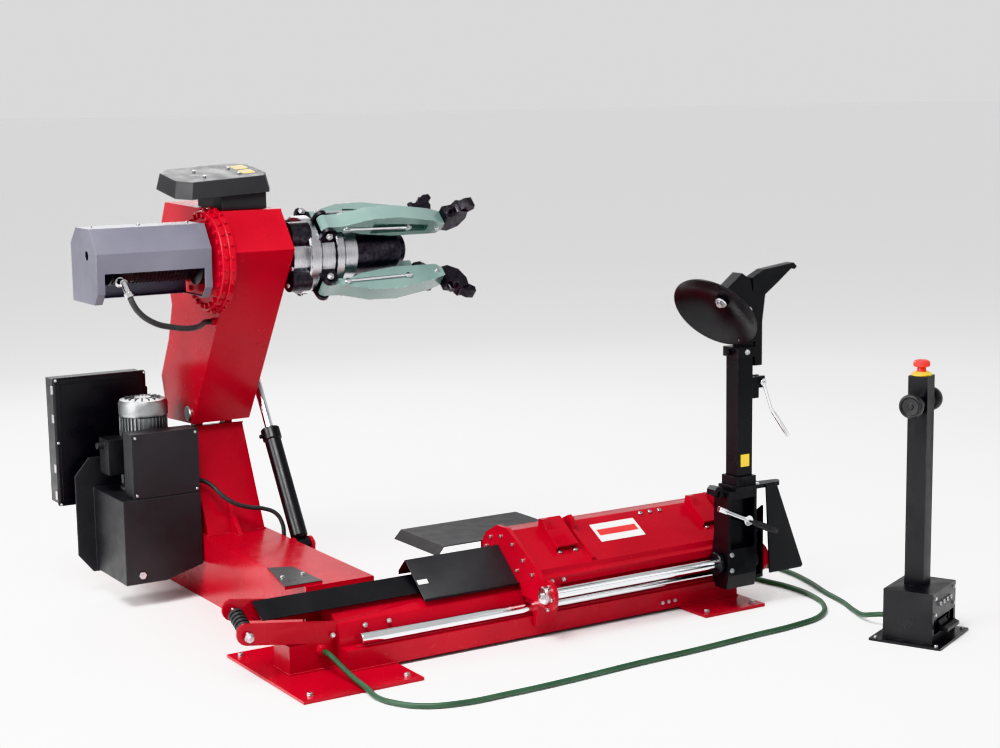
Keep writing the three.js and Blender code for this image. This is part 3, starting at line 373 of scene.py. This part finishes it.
def weld(name, runs, body, radius=4.0, material=RED):
    """Painted weld beads: overlapping ripples along straight runs between points."""
    shape = bmesh.new()
    for start, end in runs:
        a, b = Vector(start), Vector(end)
        count = max(2, int((b - a).length / 5))
        for i in range(count + 1):
            swing = 0.25 * math.sin(i * 2.4)
            centre = a.lerp(b, i / count)
            blob = bmesh.ops.create_uvsphere(shape, u_segments=8, v_segments=5, radius=1)["verts"]
            for vertex in blob:
                vertex.co = vertex.co * radius * (1 + 0.12 * swing) * MM + mm(*centre)
    return from_bmesh(name, shape, material, body, 60)


# ---------------------------------------------------------------- the control cable

cable = tube("control_cable_look", CABLE_ROUTE, CABLE_DIAMETER / 2 / MM, GREEN, "base", ("control_cable",))


# ---------------------------------------------------------------- bed and base

def bed():
    for node in ("bed_frame", "left_foot_plate", "right_foot_plate", "base_beam", "tower"):
        dress(node, RED)
    dress("deck_belt", BLACK, 0.6)
    dress("roller_pin", ZINC, 0.6)
    pin = [(0, 0), (28, 0), (30, 2), (30, 8.5), (17.5, 8.5), (17.5, 254.5), (30, 254.5), (30, 261),
           (28, 263), (0, 263)]
    turned("arm_pivot_pin_look", [(pin, (-4, 1165, 720), (1, 0, 0))], ZINC, "base", 64, ("arm_pivot_pin",),
           0.3)
    turned("lower_rod_look", [(bar(20, 1618), (62, -150, 114), (1, 0, 0))], CHROME, "base", 64,
           ("lower_guide_rod",))
    turned("rear_rod_look", [(bar(16, 1434), (266, 163, 190), (1, 0, 0))], CHROME, "base", 64,
           ("rear_guide_rod",))
    bracket_plate()
    hex_bolts("bed_front_bolts", [((x, -170, 40), (0, -1, 0)) for x in (1338, 1368, 1398)], 7, ZINC, "base")
    hex_bolts("bed_bolts", [((x, -120.5, 150), (0, -0.5, 0.86)) for x in (96, 190)]
              + [((30, 225, 265), (0, 0, 1)), ((-50, 225, 265), (0, 0, 1)), ((-20, -102, 130), (0, -1, 0))],
              8, ZINC, "base")
    anchors = ((-215, -315), (150, -315), (-225, 215), (1460, -285), (1680, -285))
    hex_bolts("anchor_bolts", [((x, y, 12), (0, 0, 1)) for x, y in anchors], 11, ZINC, "base")
    weld("bed_welds", [((-4, -172, 14), (190, -172, 14)), ((1430, -172, 14), (1698, -172, 14)),
                       ((-180, -93, 14), (4, -93, 14)), ((-181, -90, 14), (-181, 32, 14))], "base")
    weld("tower_welds", [((-4, 995, 256), (238, 995, 256)), ((-6, 997, 256), (-6, 1328, 256)),
                         ((240, 997, 256), (240, 1328, 256)), ((98, 932, 256), (98, 994, 256)),
                         ((118, 932, 256), (118, 994, 256)), ((-4, 1180, 660), (238, 1180, 660))], "base")


def bracket_plate():
    """Black sheet on the beam's belt bracket."""
    shape = bmesh.new()
    outline = [(-95, 112), (-34, 386), (50, 350), (52, 112)]
    bottom, top = 263, 265
    low = [shape.verts.new(mm(x, y, bottom)) for x, y in outline]
    high = [shape.verts.new(mm(x, y, top)) for x, y in outline]
    shape.faces.new(low)
    shape.faces.new(high)
    for i in range(len(outline)):
        j = (i + 1) % len(outline)
        shape.faces.new((low[i], low[j], high[j], high[i]))
    rounded_edges(from_bmesh("belt_bracket_top", shape, BLACK, "base"), 0.7, 2)


def roller():
    axis = Vector((0, 1, 0.5)).normalized()
    start = Vector((-330, -66, 193.5))
    length = 82.7
    profile = [(9.8, 0), (25, 0), (27, 2)]
    grooves = 5
    for i in range(1, grooves):
        middle = length * i / grooves
        profile += [(27, middle - 4), (22.5, middle - 2), (22.5, middle + 2), (27, middle + 4)]
    profile += [(27, length - 2), (25, length), (9.8, length), (9.8, 0)]
    turned("belt_roller_look", [(profile, start, axis)], PLASTIC, "belt_roller", 48, ("belt_roller",), 0.4)


# ---------------------------------------------------------------- arm, motor and guard

SPINDLE = Vector((0, 845, 1352))


def around_spindle(x, radius, degrees):
    angle = math.radians(degrees)
    return Vector((x, SPINDLE.y + radius * math.cos(angle), SPINDLE.z + radius * math.sin(angle)))


def arm():
    dress("lift_arm", RED, 2.5, 3)
    outer = [(90, 0), (185, 0), (188, 3), (188, 27), (90, 27), (90, 0)]
    inner = [(90, 0), (193, 0), (196, 3), (196, 24), (90, 24), (90, 0)]
    turned("gear_rings_look", [(outer, (-46, SPINDLE.y, SPINDLE.z), (1, 0, 0)),
                               (inner, (-19.6, SPINDLE.y, SPINDLE.z), (1, 0, 0))],
           RED, "lift_arm", 96, ("gear_rings",))
    count = 26
    spokes = [360 * i / count for i in range(count)]
    hex_bolts("gear_ring_bolts", [(around_spindle(-46, 170, a), (-1, 0, 0)) for a in spokes], 10, RED,
              "lift_arm")
    rims = [(x, radius, a) for x, radius in ((-31, 188), (-8, 196)) for a in spokes]
    hex_bolts("gear_rim_nuts", [(around_spindle(x, radius, a + 7), around_spindle(0, 1, a + 7) - SPINDLE)
                                for x, radius, a in rims], 7.5, RED, "lift_arm")
    hex_bolts("arm_face_bolts", [(around_spindle(250, 150, a), (1, 0, 0)) for a in range(15, 360, 30)],
              8, ZINC, "lift_arm")
    runs = [((5, 672, 1388), (250, 672, 1388)), ((5, 779, 1535), (250, 779, 1535))]
    weld("arm_welds", runs, "lift_arm", 3)
    route = [(-383.8, 723.7, 1249.4), (-377, 716, 1226), (-355, 710, 1190), (-300, 715, 1150),
             (-220, 735, 1125), (-140, 765, 1112), (-80, 815, 1112), (-50, 855, 1116), (-32, 870, 1117),
             (-12.4, 870, 1117)]
    tube("motor_hose_look", route, 11, RUBBER, "lift_arm", ("motor_hose",))


def motor():
    body = [(0, 0), (88, 0), (88, 34), (62, 44)]
    fins = 16
    for i in range(fins):
        x = 60 + i * 14.5
        body += [(62, x), (67, x + 0.5), (67, x + 5), (62, x + 6)]
    body += [(62, 300), (70, 304), (70, 376), (66, 380), (0, 380)]
    turned("spindle_motor_look", [(body, (-46, SPINDLE.y, SPINDLE.z), (-1, 0, 0))], BLACK, "lift_arm", 64,
           ("spindle_motor",), 0.5)
    turned("elbow_look", [(bar(15, 75), (-400, 810, 1300), (0, -1, 0)),
                          (bar(12, 48), (-400, 742, 1305), Vector((12, -14, -43))),
                          ([(0, 0), (19, 0), (19, 12), (0, 12)], (-400, 786, 1300), (0, -1, 0)),
                          ([(0, 0), (16, 0), (16, 16), (0, 16)], (-389, 729, 1265), Vector((5, -5, -15)))],
           CHROME, "lift_arm", 32)
    dress("motor_cover", GREY, 1.4, 3)
    on_top = [((x, 832, 1498.5), (0, 0, 1)) for x in (-480, -300, -110)]
    on_back = [((x, 965.4, 1340), (0, 1, 0)) for x in (-480, -110)]
    socket_screws("cover_screws", on_top + on_back, 6, ZINC, "lift_arm")


def guard_level(x, y):
    return 1645 + 0.06 * (x + 143) + 0.16 * (y - 792)


def guard():
    dress("top_guard", TEXTURED, 5, 4)
    lid_normal = Vector((-0.06, -0.16, 1)).normalized()
    spots = [(-20, 860), (-20, 960), (120, 860), (120, 960)]
    socket_screws("guard_screws", [((x, y, guard_level(x, y)), lid_normal) for x, y in spots], 6, ZINC,
                  "lift_arm")
    lean = Vector((0, 0, 1)).rotation_difference(lid_normal)
    for index, (x, y) in enumerate(((160, 880), (165, 960))):
        z = guard_level(x, y)
        label = ((x - 24, y - 26, z), (x + 24, y + 26, z + 1.2))
        plates(f"guard_label_{index}", [label], YELLOW, "lift_arm", 0.4, 2, lean, (x, y, z))


# ---------------------------------------------------------------- chuck and jaws

def chuck():
    at = (252, SPINDLE.y, SPINDLE.z)
    profile = [(0, 0), (86, 0), (86, 20), (116, 24), (118, 26), (118, 78), (146, 82), (150, 86),
               (150, 126), (146, 130), (134, 134), (134, 190), (140, 194), (144, 198), (144, 228),
               (140, 232), (112, 236), (112, 300), (0, 300)]
    dress("chuck_body", DARK_STEEL, 1.2, 2, "chuck_carriers_look")
    turned("chuck_plate_look", [(profile, at, (1, 0, 0))], STEEL, "chuck", 96)
    ring = [(around_spindle(484.5, 128, a), (1, 0, 0)) for a in range(0, 360, 30)]
    hex_bolts("chuck_ring_bolts", ring, 7, ZINC, "chuck")
    core = [(0, 0), (84, 0), (88, 4), (92, 12), (92, 188), (84, 204), (60, 206), (60, 236), (56, 240),
            (0, 240)]
    turned("chuck_core_look", [(core, (552.4, SPINDLE.y, SPINDLE.z), (1, 0, 0))], DARK_STEEL, "chuck", 96,
           ("chuck_core",), 2)
    face = [(around_spindle(792.5, 40, a), (1, 0, 0)) for a in range(0, 360, 60)]
    hex_bolts("core_bolts", face, 7, ZINC, "chuck")


def jaws():
    for index in range(4):
        body = f"jaw_{index + 1}"
        dress(f"jaw_arm_{index + 1}", TEAL, 5, 3)
        dress(f"jaw_tip_{index + 1}", DARK_STEEL, 2.5, 2)
        jaw_details(index, body)


def jaw_details(index, body):
    """Bright link rod, its end bolts and the tip's clamping screws, in the jaw's own turned frame."""
    angle = math.radians(45 + 90 * index)
    out = Vector((0, math.cos(angle), math.sin(angle)))
    across = Vector((0, math.sin(angle), -math.cos(angle)))

    def at(x, radius, side):
        return Vector((x, 0, 0)) + SPINDLE + out * radius + across * side

    rods = []
    for side in (-37, 37):
        rods.append((bar(6, 300), at(470, 176, side), (at(770, 168, side) - at(470, 176, side))))
        for x, radius in ((485, 176), (755, 168)):
            rods.append(([(0, 0), (13, 0), (13, 9), (11, 10), (0, 10)], at(x, radius, side - 5), across))
    turned(f"jaw_links_{index + 1}", rods, CHROME, body, 20, bevel=0.5)
    clamps = [(at(892, 150, side), across * math.copysign(1, side)) for side in (-32, 32)]
    hex_bolts(f"jaw_bolts_{index + 1}", clamps, 9, ZINC, body)
    pivots = [(at(405, 168, side), across * math.copysign(1, side)) for side in (-59, 59)]
    hex_bolts(f"jaw_pivot_heads_{index + 1}", pivots, 12, ZINC, "chuck")


# ---------------------------------------------------------------- lift cylinder

FOOT = Vector((300, 790, 219))
EYE = Vector((300, 1200, 877))
CYLINDER_LINE = (EYE - FOOT).normalized()


def cylinder():
    def along(distance):
        return FOOT + CYLINDER_LINE * distance

    barrel = [(18.6, 60), (18.6, 26), (24, 26), (34, 38), (34, 448), (39, 452), (39, 496), (36, 500),
              (18.6, 500), (18.6, 60)]
    turned("barrel_look", [(barrel, FOOT, CYLINDER_LINE)], BLACK, "lift_cylinder", 64, bevel=0.8)
    eye = [(14.6, -27), (28, -27), (30, -25), (30, 25), (28, 27), (14.6, 27), (14.6, -27)]
    turned("barrel_eye_look", [(eye, FOOT, (1, 0, 0)), (bar(9, 52), along(470), (-1, 0, 0))],
           BLACK, "lift_cylinder", 48, ("cylinder_barrel",), 0.8)
    length = (EYE - FOOT).length
    rod = (bar(18, length - 240 - 34), along(240), CYLINDER_LINE)
    turned("piston_rod_look", [rod], CHROME, "lift_piston", 64, ("cylinder_rod",), 0.6)
    rod_eye = [(24, -15), (38, -15), (40, -13), (40, 13), (38, 15), (24, 15), (24, -15)]
    turned("rod_eye_look", [(rod_eye, EYE, (1, 0, 0))], ZINC, "lift_piston", 64, bevel=0.8)
    dress("cylinder_pin", ZINC)


# ---------------------------------------------------------------- hydraulic unit and electrics

def hydraulics():
    dress("oil_tank", TEXTURED, 3, 3)
    dress("valve_cover", TEXTURED, 2.5, 3)
    dress("valve_block", ALUMINIUM, 1.2)
    dress("terminal_box", PLASTIC, 5, 3)
    dress("electrical_box", BLACK, 4, 3)
    pump_motor()
    filler = [(0, 0), (24, 0), (26, 2), (26, 14), (22, 20), (0, 20)]
    turned("filler_cap", [(filler, (-70, 1280, 437.2), (0, 0, 1))], PLASTIC, "base", 32)
    plug = [(0, 0), (15, 0), (15, 9), (0, 9)]
    turned("drain_plug", [(plug, (-280, 1000, 140), (0, -1, 0))], ZINC, "base", 6)
    corners = [((x, 1002.8, z), (0, -1, 0)) for x in (-286, -41) for z in (452, 676)]
    socket_screws("valve_cover_screws", corners, 5, ZINC, "base")
    route = [(-19.6, 1052, 470), (-2, 1052, 470), (30, 1026, 450), (60, 985, 410), (100, 960, 380),
             (150, 945, 362), (210, 932, 350), (250, 915, 330), (268, 895, 290), (268, 882, 240),
             (268, 880, 190.5)]
    tube("lift_hose_look", route, 9, RUBBER, "base", ("lift_hose",))
    bolts = [((-27, y, z), (1, 0, 0)) for y in (1040, 1290) for z in (200, 400)]
    hex_bolts("tank_bolts", bolts, 8, ZINC, "base")


def pump_motor():
    """Standing motor with cooling fins round its body and slots in its fan cap."""
    x, y = -170, 1208
    fins, slots = 36, 16
    profile = [(0, 0), (98, 0), (100, 2), (100, 12), (84, 16), (84, 288), (94, 292), (96, 296), (96, 306),
               (97, 340), (90, 354), (60, 361), (0, 362)]
    shape = bmesh.new()
    lathe_into(shape, profile, (x, y, 437.4), (0, 0, 1), 64)
    for i in range(fins):
        turn = Quaternion((0, 0, 1), 2 * math.pi * i / fins)
        block_into(shape, (x + 80, y - 1.6, 460), (x + 94, y + 1.6, 726), turn, (x, y, 0))
    piece = from_bmesh("pump_motor_look", shape, ALUMINIUM, "base")
    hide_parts("pump_motor")
    rounded_edges(piece, 0.7, 2)
    shape = bmesh.new()
    for i in range(slots):
        turn = Quaternion((0, 0, 1), 2 * math.pi * i / slots)
        block_into(shape, (x + 34, y - 3, 798), (x + 74, y + 3, 800.5), turn, (x, y, 0))
    from_bmesh("fan_cap_slots", shape, BLACK, "base")


def electrics():
    shape = bmesh.new()
    block_into(shape, (-470, 1382, 362), (-85, 1404, 878))
    piece = from_bmesh("electrical_cover_look", shape, BLACK, "base")
    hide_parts("electrical_cover")
    rounded_edges(piece, 10.5, 6)
    shape = bmesh.new()
    for low, high in (((-452, 1379.5, 380), (-103, 1383, 388)), ((-452, 1379.5, 852), (-103, 1383, 860)),
                      ((-452, 1379.5, 388), (-444, 1383, 852)), ((-111, 1379.5, 388), (-103, 1383, 852))):
        block_into(shape, low, high)
    rounded_edges(from_bmesh("electrical_cover_rim", shape, BLACK, "base"), 1.2, 2)
    socket_screws("electrical_cover_screws", [((x, 1381, z), (0, -1, 0)) for x in (-460, -94)
                                              for z in (372, 620, 868)], 5, ZINC, "base")
    latches = [((-475, 1386, z), (-469, 1402, z + 34)) for z in (392, 500, 700, 814)]
    plates("cover_latches", latches, ZINC, "base", 1.6, 3)
    hinges = [((-86, 1386, z), (-80, 1402, z + 50)) for z in (430, 760)]
    plates("cover_hinges", hinges, BLACK, "base", 1.6, 3)


# ---------------------------------------------------------------- carriage

def carriage():
    for node in ("carriage_shell", "left_end_plate", "right_end_plate"):
        dress(node, RED, 2.5, 3)
    dress("hood", TEXTURED, 0.9)
    hood_foot, hood_slope = 192, math.atan2(119, 140)
    lean = Quaternion((1, 0, 0), hood_slope)
    centre = Vector((372, -40, hood_foot + 60 * math.tan(hood_slope)))
    label = (centre - Vector((20, 9, 0)), centre + Vector((20, 9, 1.2)))
    plates("hood_label", [label], WHITE, "carriage", 0.3, 2, lean, centre)
    dress("rear_tray", TEXTURED, 0.9)
    turned("tool_rod_look", [(bar(20, 986.6), (741.4, -280, 190), (1, 0, 0))], CHROME, "carriage", 64,
           ("tool_rod",))
    cap = [(0, -1), (29, -1), (33, 3), (33, 17), (0, 17)]
    turned("tool_rod_cap", [(cap, (723.4, -280, 190), (1, 0, 0))], ZINC, "carriage", 64)
    hex_bolts("tool_rod_screw", [((722.4, -280, 190), (-1, 0, 0))], 10, ZINC, "carriage")
    left = [(-190, 245), (-130, 285), (-60, 330), (20, 345), (90, 330), (120, 290), (-90, 240), (-300, 225),
            (-318, 180), (-290, 140)]
    socket_screws("left_plate_screws", [((740, y, z), (-1, 0, 0)) for y, z in left], 7, ZINC, "carriage")
    right = [(y, z) for y, z in left if z > 220]
    socket_screws("right_plate_screws", [((1722, y, z), (1, 0, 0)) for y, z in right], 7, ZINC, "carriage")
    panel_details()


PANEL_TOP = Vector((0, -20, 372))
PANEL_SLOPE = math.atan2(109, 188)
PANEL_OUT = Vector((0, -math.sin(PANEL_SLOPE), math.cos(PANEL_SLOPE)))
PANEL_DOWN = Vector((0, -math.cos(PANEL_SLOPE), -math.sin(PANEL_SLOPE)))


def on_panel(x, down, out=0.0):
    return PANEL_TOP + Vector((x, 0, 0)) + PANEL_DOWN * down + PANEL_OUT * out


def panel_details():
    """Blank name plate, screws and bolts on the carriage's slanted front."""
    lean = Vector((0, 0, 1)).rotation_difference(PANEL_OUT)
    for name, material, half_x, half_y, thick in (("name_plate", WHITE, 100, 47, 2.0),
                                                  ("name_plate_band", LABEL_RED, 88, 16, 3.0)):
        centre = on_panel(1185, 85)
        low = centre - Vector((half_x, half_y, 0))
        high = centre + Vector((half_x, half_y, thick))
        plates(name, [(low, high)], material, "carriage", 0.5, 2, lean, centre)
    socket_screws("panel_screws", [(on_panel(x, 22), PANEL_OUT) for x in (1330, 1375, 1420)]
                  + [(on_panel(x, 150), PANEL_OUT) for x in (886, 954, 1566, 1626)], 8, ZINC, "carriage")
    hex_bolts("shelf_bolts", [((x, -228, 220), (0, -1, 0)) for x in (800, 850)], 7, ZINC, "carriage")


# ---------------------------------------------------------------- tool unit

def tool():
    at = (1500, -280, 190)
    sleeve = [(21, 0), (40, 0), (43, 3), (43, 17), (40, 20), (33, 20), (33, 164), (40, 164), (43, 167),
              (43, 181), (40, 184), (21, 184), (21, 0)]
    turned("sleeve_look", [(sleeve, at, (1, 0, 0))], BLACK, "tool_slide", 64, ("tool_sleeve",), 0.6)
    for node in ("tool_arm_body", "tool_top_plate", "tool_post"):
        dress(node, BLACK, 2.0, 3)
    for node in ("tool_head", "hook_tool"):
        dress(node, BLACK, 3.0, 3)
    along = (0.915, 0, -0.404)
    end = [(0, 0), (10, 0), (11, 4), (11, 40), (0, 44)]
    turned("tilt_lever_look", [(bar(20, 80), (1585, -380, 365), (0, 1, 0)),
                               (bar(8, 150), (1450, -372, 425.5), along),
                               (end, (1446, -372, 427), along)], CHROME, "tilt_lever", 32)
    grip = [(0, 0), (9, 0), (9, 24), (12, 30), (13, 60), (14, 100), (13, 138), (9, 147), (0, 149)]
    turned("tilt_grip_look", [(grip, (1585, -372, 365), (135, -5, -59))], PLASTIC, "tilt_lever", 32,
           ("tilt_lever",))
    lever = [(0, 0), (7, 0), (7, 114), (0, 114)]
    handle = [(0, 0), (6, 0), (8, 5), (9, 40), (9.5, 100), (9, 138), (6, 144), (0, 145)]
    turned("lock_lever_look", [(bar(14, 13), (1696, -328, 872), (0, 1, 0)),
                               (bar(6, 70), (1696, -328, 872), (0, 1, 0)),
                               (bar(11, 18.8), (1696, -299.4, 872), (0, 1, 0)),
                               (lever, (1696, -322, 872), (40, 0, -107)),
                               (handle, (1735, -322, 767), (87, 0, -115))], CHROME, "lock_lever", 32,
           ("head_lock_lever",))
    hex_bolts("post_bolts", [((1564, -290, 994), (-1, 0, 0)), ((1608, -334, 994), (0, -1, 0)),
                             ((1590, -318, 1040), (0, -1, 0)), ((1630, -318, 1060), (0, -1, 0)),
                             ((1630, -318, 1150), (0, -1, 0))], 9, ZINC, "tool_head")
    hex_bolts("tool_plate_bolts", [((1660, y, 488), (0, 0, 1)) for y in (-335, -250)]
              + [((1540, -334, z), (0, -1, 0)) for z in (170, 230)], 8, ZINC, "tool_arm")
    plates("post_label", [((1588, -325.9, 560), (1628, -324.9, 606))], YELLOW, "tool_arm", 0.4, 2)
    disc()


DISC_CENTRE = Vector((1475, -310, 1150))
DISC_AXIS = Vector((-0.74, -0.24, -0.63)).normalized()


def disc():
    profile = [(15.6, 62), (40, 59), (66, 52), (88, 43), (112, 31), (132, 19), (150, 8), (162, 0),
               (166, -2), (168, 0.5), (167, 3), (152, 14), (136, 26), (114, 39), (92, 50), (68, 60),
               (46, 66), (42, 68), (38, 74), (34, 80), (34, 90), (32, 92), (15.6, 92), (15.6, 62)]
    turned("bead_disc_look", [(profile, DISC_CENTRE, -DISC_AXIS)], BLACK, "bead_disc", 128, ("bead_disc",),
           0.6)
    axle = [(0, 46), (20, 46), (24, 49), (24, 56), (15, 58.5), (15, 180), (0, 180)]
    turned("disc_axle_look", [(axle, DISC_CENTRE, -DISC_AXIS)], STEEL, "tool_head", 48, ("disc_axle",), 0.6)
    hex_bolts("disc_nut", [(DISC_CENTRE - DISC_AXIS * 46, DISC_AXIS)], 13, ZINC, "tool_head")


# ---------------------------------------------------------------- pedestal

PEDESTAL_TURN = Quaternion((0, 0, 1), math.radians(25))
PEDESTAL_FOOT = Vector((1925, -925, 0))


def ped(x, y, z):
    return PEDESTAL_TURN @ Vector((x, y, z)) + PEDESTAL_FOOT


def pedestal():
    dress("pedestal_stand", BLACK, 2.2, 3)
    dress("foot_pedal", PLASTIC, 2.0, 3)
    across = PEDESTAL_TURN @ Vector((1, 0, 0))
    for node, side in (("joystick_knob", -1), ("selector_knob", 1)):
        knob = [(0, 0), (13, 0), (13, 12), (34, 16), (40, 20), (43, 26), (43, 44), (40, 50), (34, 52),
                (30, 47), (12, 45), (10, 48), (0, 48)]
        turned(node + "_look", [(knob, ped(side * 60.4, 10, 852), across * side)], PLASTIC,
               "joystick" if side < 0 else "selector", 64, (node,), 1.2)
    collar = [(16.6, 0.4), (34, 0.4), (35.4, 2), (35.4, 8), (24, 14.6), (16.6, 14.6), (16.6, 0.4)]
    turned("stop_collar", [(collar, ped(0, 10, 949), (0, 0, 1))], YELLOW, "base", 48)
    button = [(0, 3), (16, 3), (16, 20), (14, 24), (26, 26), (29, 28), (30, 33), (29, 42), (25, 47),
              (17, 50), (0, 51)]
    turned("stop_button_look", [(button, ped(0, 10, 955), (0, 0, 1))], STOP_RED, "stop_button", 48,
           ("stop_button",))
    front = PEDESTAL_TURN @ Vector((0, -1, 0))
    hex_bolts("pedestal_bolts", [(ped(x, -92, z), front) for x in (-98, 98) for z in (112, 172)]
              + [(ped(x, y, 9), (0, 0, 1)) for x in (-135, 135) for y in (-112, 112)], 7, ZINC, "base")
    buttons = [(ped(x, -92, 145), front) for x in (-54, -18, 18, 54)]
    socket_screws("pedestal_studs", buttons, 8, ZINC, "base")


# ---------------------------------------------------------------- room and light

def room():
    shape = bmesh.new()
    bmesh.ops.create_grid(shape, x_segments=1, y_segments=1, size=200)
    mesh = bpy.data.meshes.new("floor")
    shape.to_mesh(mesh)
    shape.free()
    floor = bpy.data.objects.new("floor", mesh)
    floor.location.z = -0.001
    bpy.context.scene.collection.objects.link(floor)
    material, _, shader = nodes_of("pale floor")
    shader.inputs["Base Color"].default_value = (0.97, 0.97, 0.97, 1)
    shader.inputs["Roughness"].default_value = 0.6
    mesh.materials.append(material)
    world = bpy.data.worlds.new("studio")
    bpy.context.scene.world = world
    world.use_nodes = True
    background = world.node_tree.nodes["Background"]
    background.inputs["Color"].default_value = (1, 1, 1, 1)
    background.inputs["Strength"].default_value = 0.74
    bpy.context.scene.view_settings.view_transform = "Khronos PBR Neutral"


def area_light(name, place, target, size, power):
    light = bpy.data.lights.new(name, "AREA")
    light.shape = "RECTANGLE"
    light.size, light.size_y = size
    light.energy = power
    lamp = bpy.data.objects.new(name, light)
    bpy.context.scene.collection.objects.link(lamp)
    lamp.location = place
    lamp.rotation_euler = (Vector(target) - Vector(place)).to_track_quat("-Z", "Y").to_euler()


bed()
roller()
arm()
motor()
guard()
chuck()
jaws()
cylinder()
hydraulics()
electrics()
carriage()
tool()
pedestal()
room()
area_light("key", (-1.6, -1.4, 4.6), (0.6, 0.4, 0.6), (2.6, 2.2), 360)
area_light("side", (-4.4, 0.2, 2.4), (0.2, 0.8, 0.9), (1.6, 2.4), 170)
area_light("fill", (4.8, -4.0, 2.6), (0.9, 0.0, 0.7), (2.2, 2.0), 25)
area_light("back", (1.0, 5.0, 3.6), (0.6, 0.5, 0.9), (3.2, 1.6), 110)
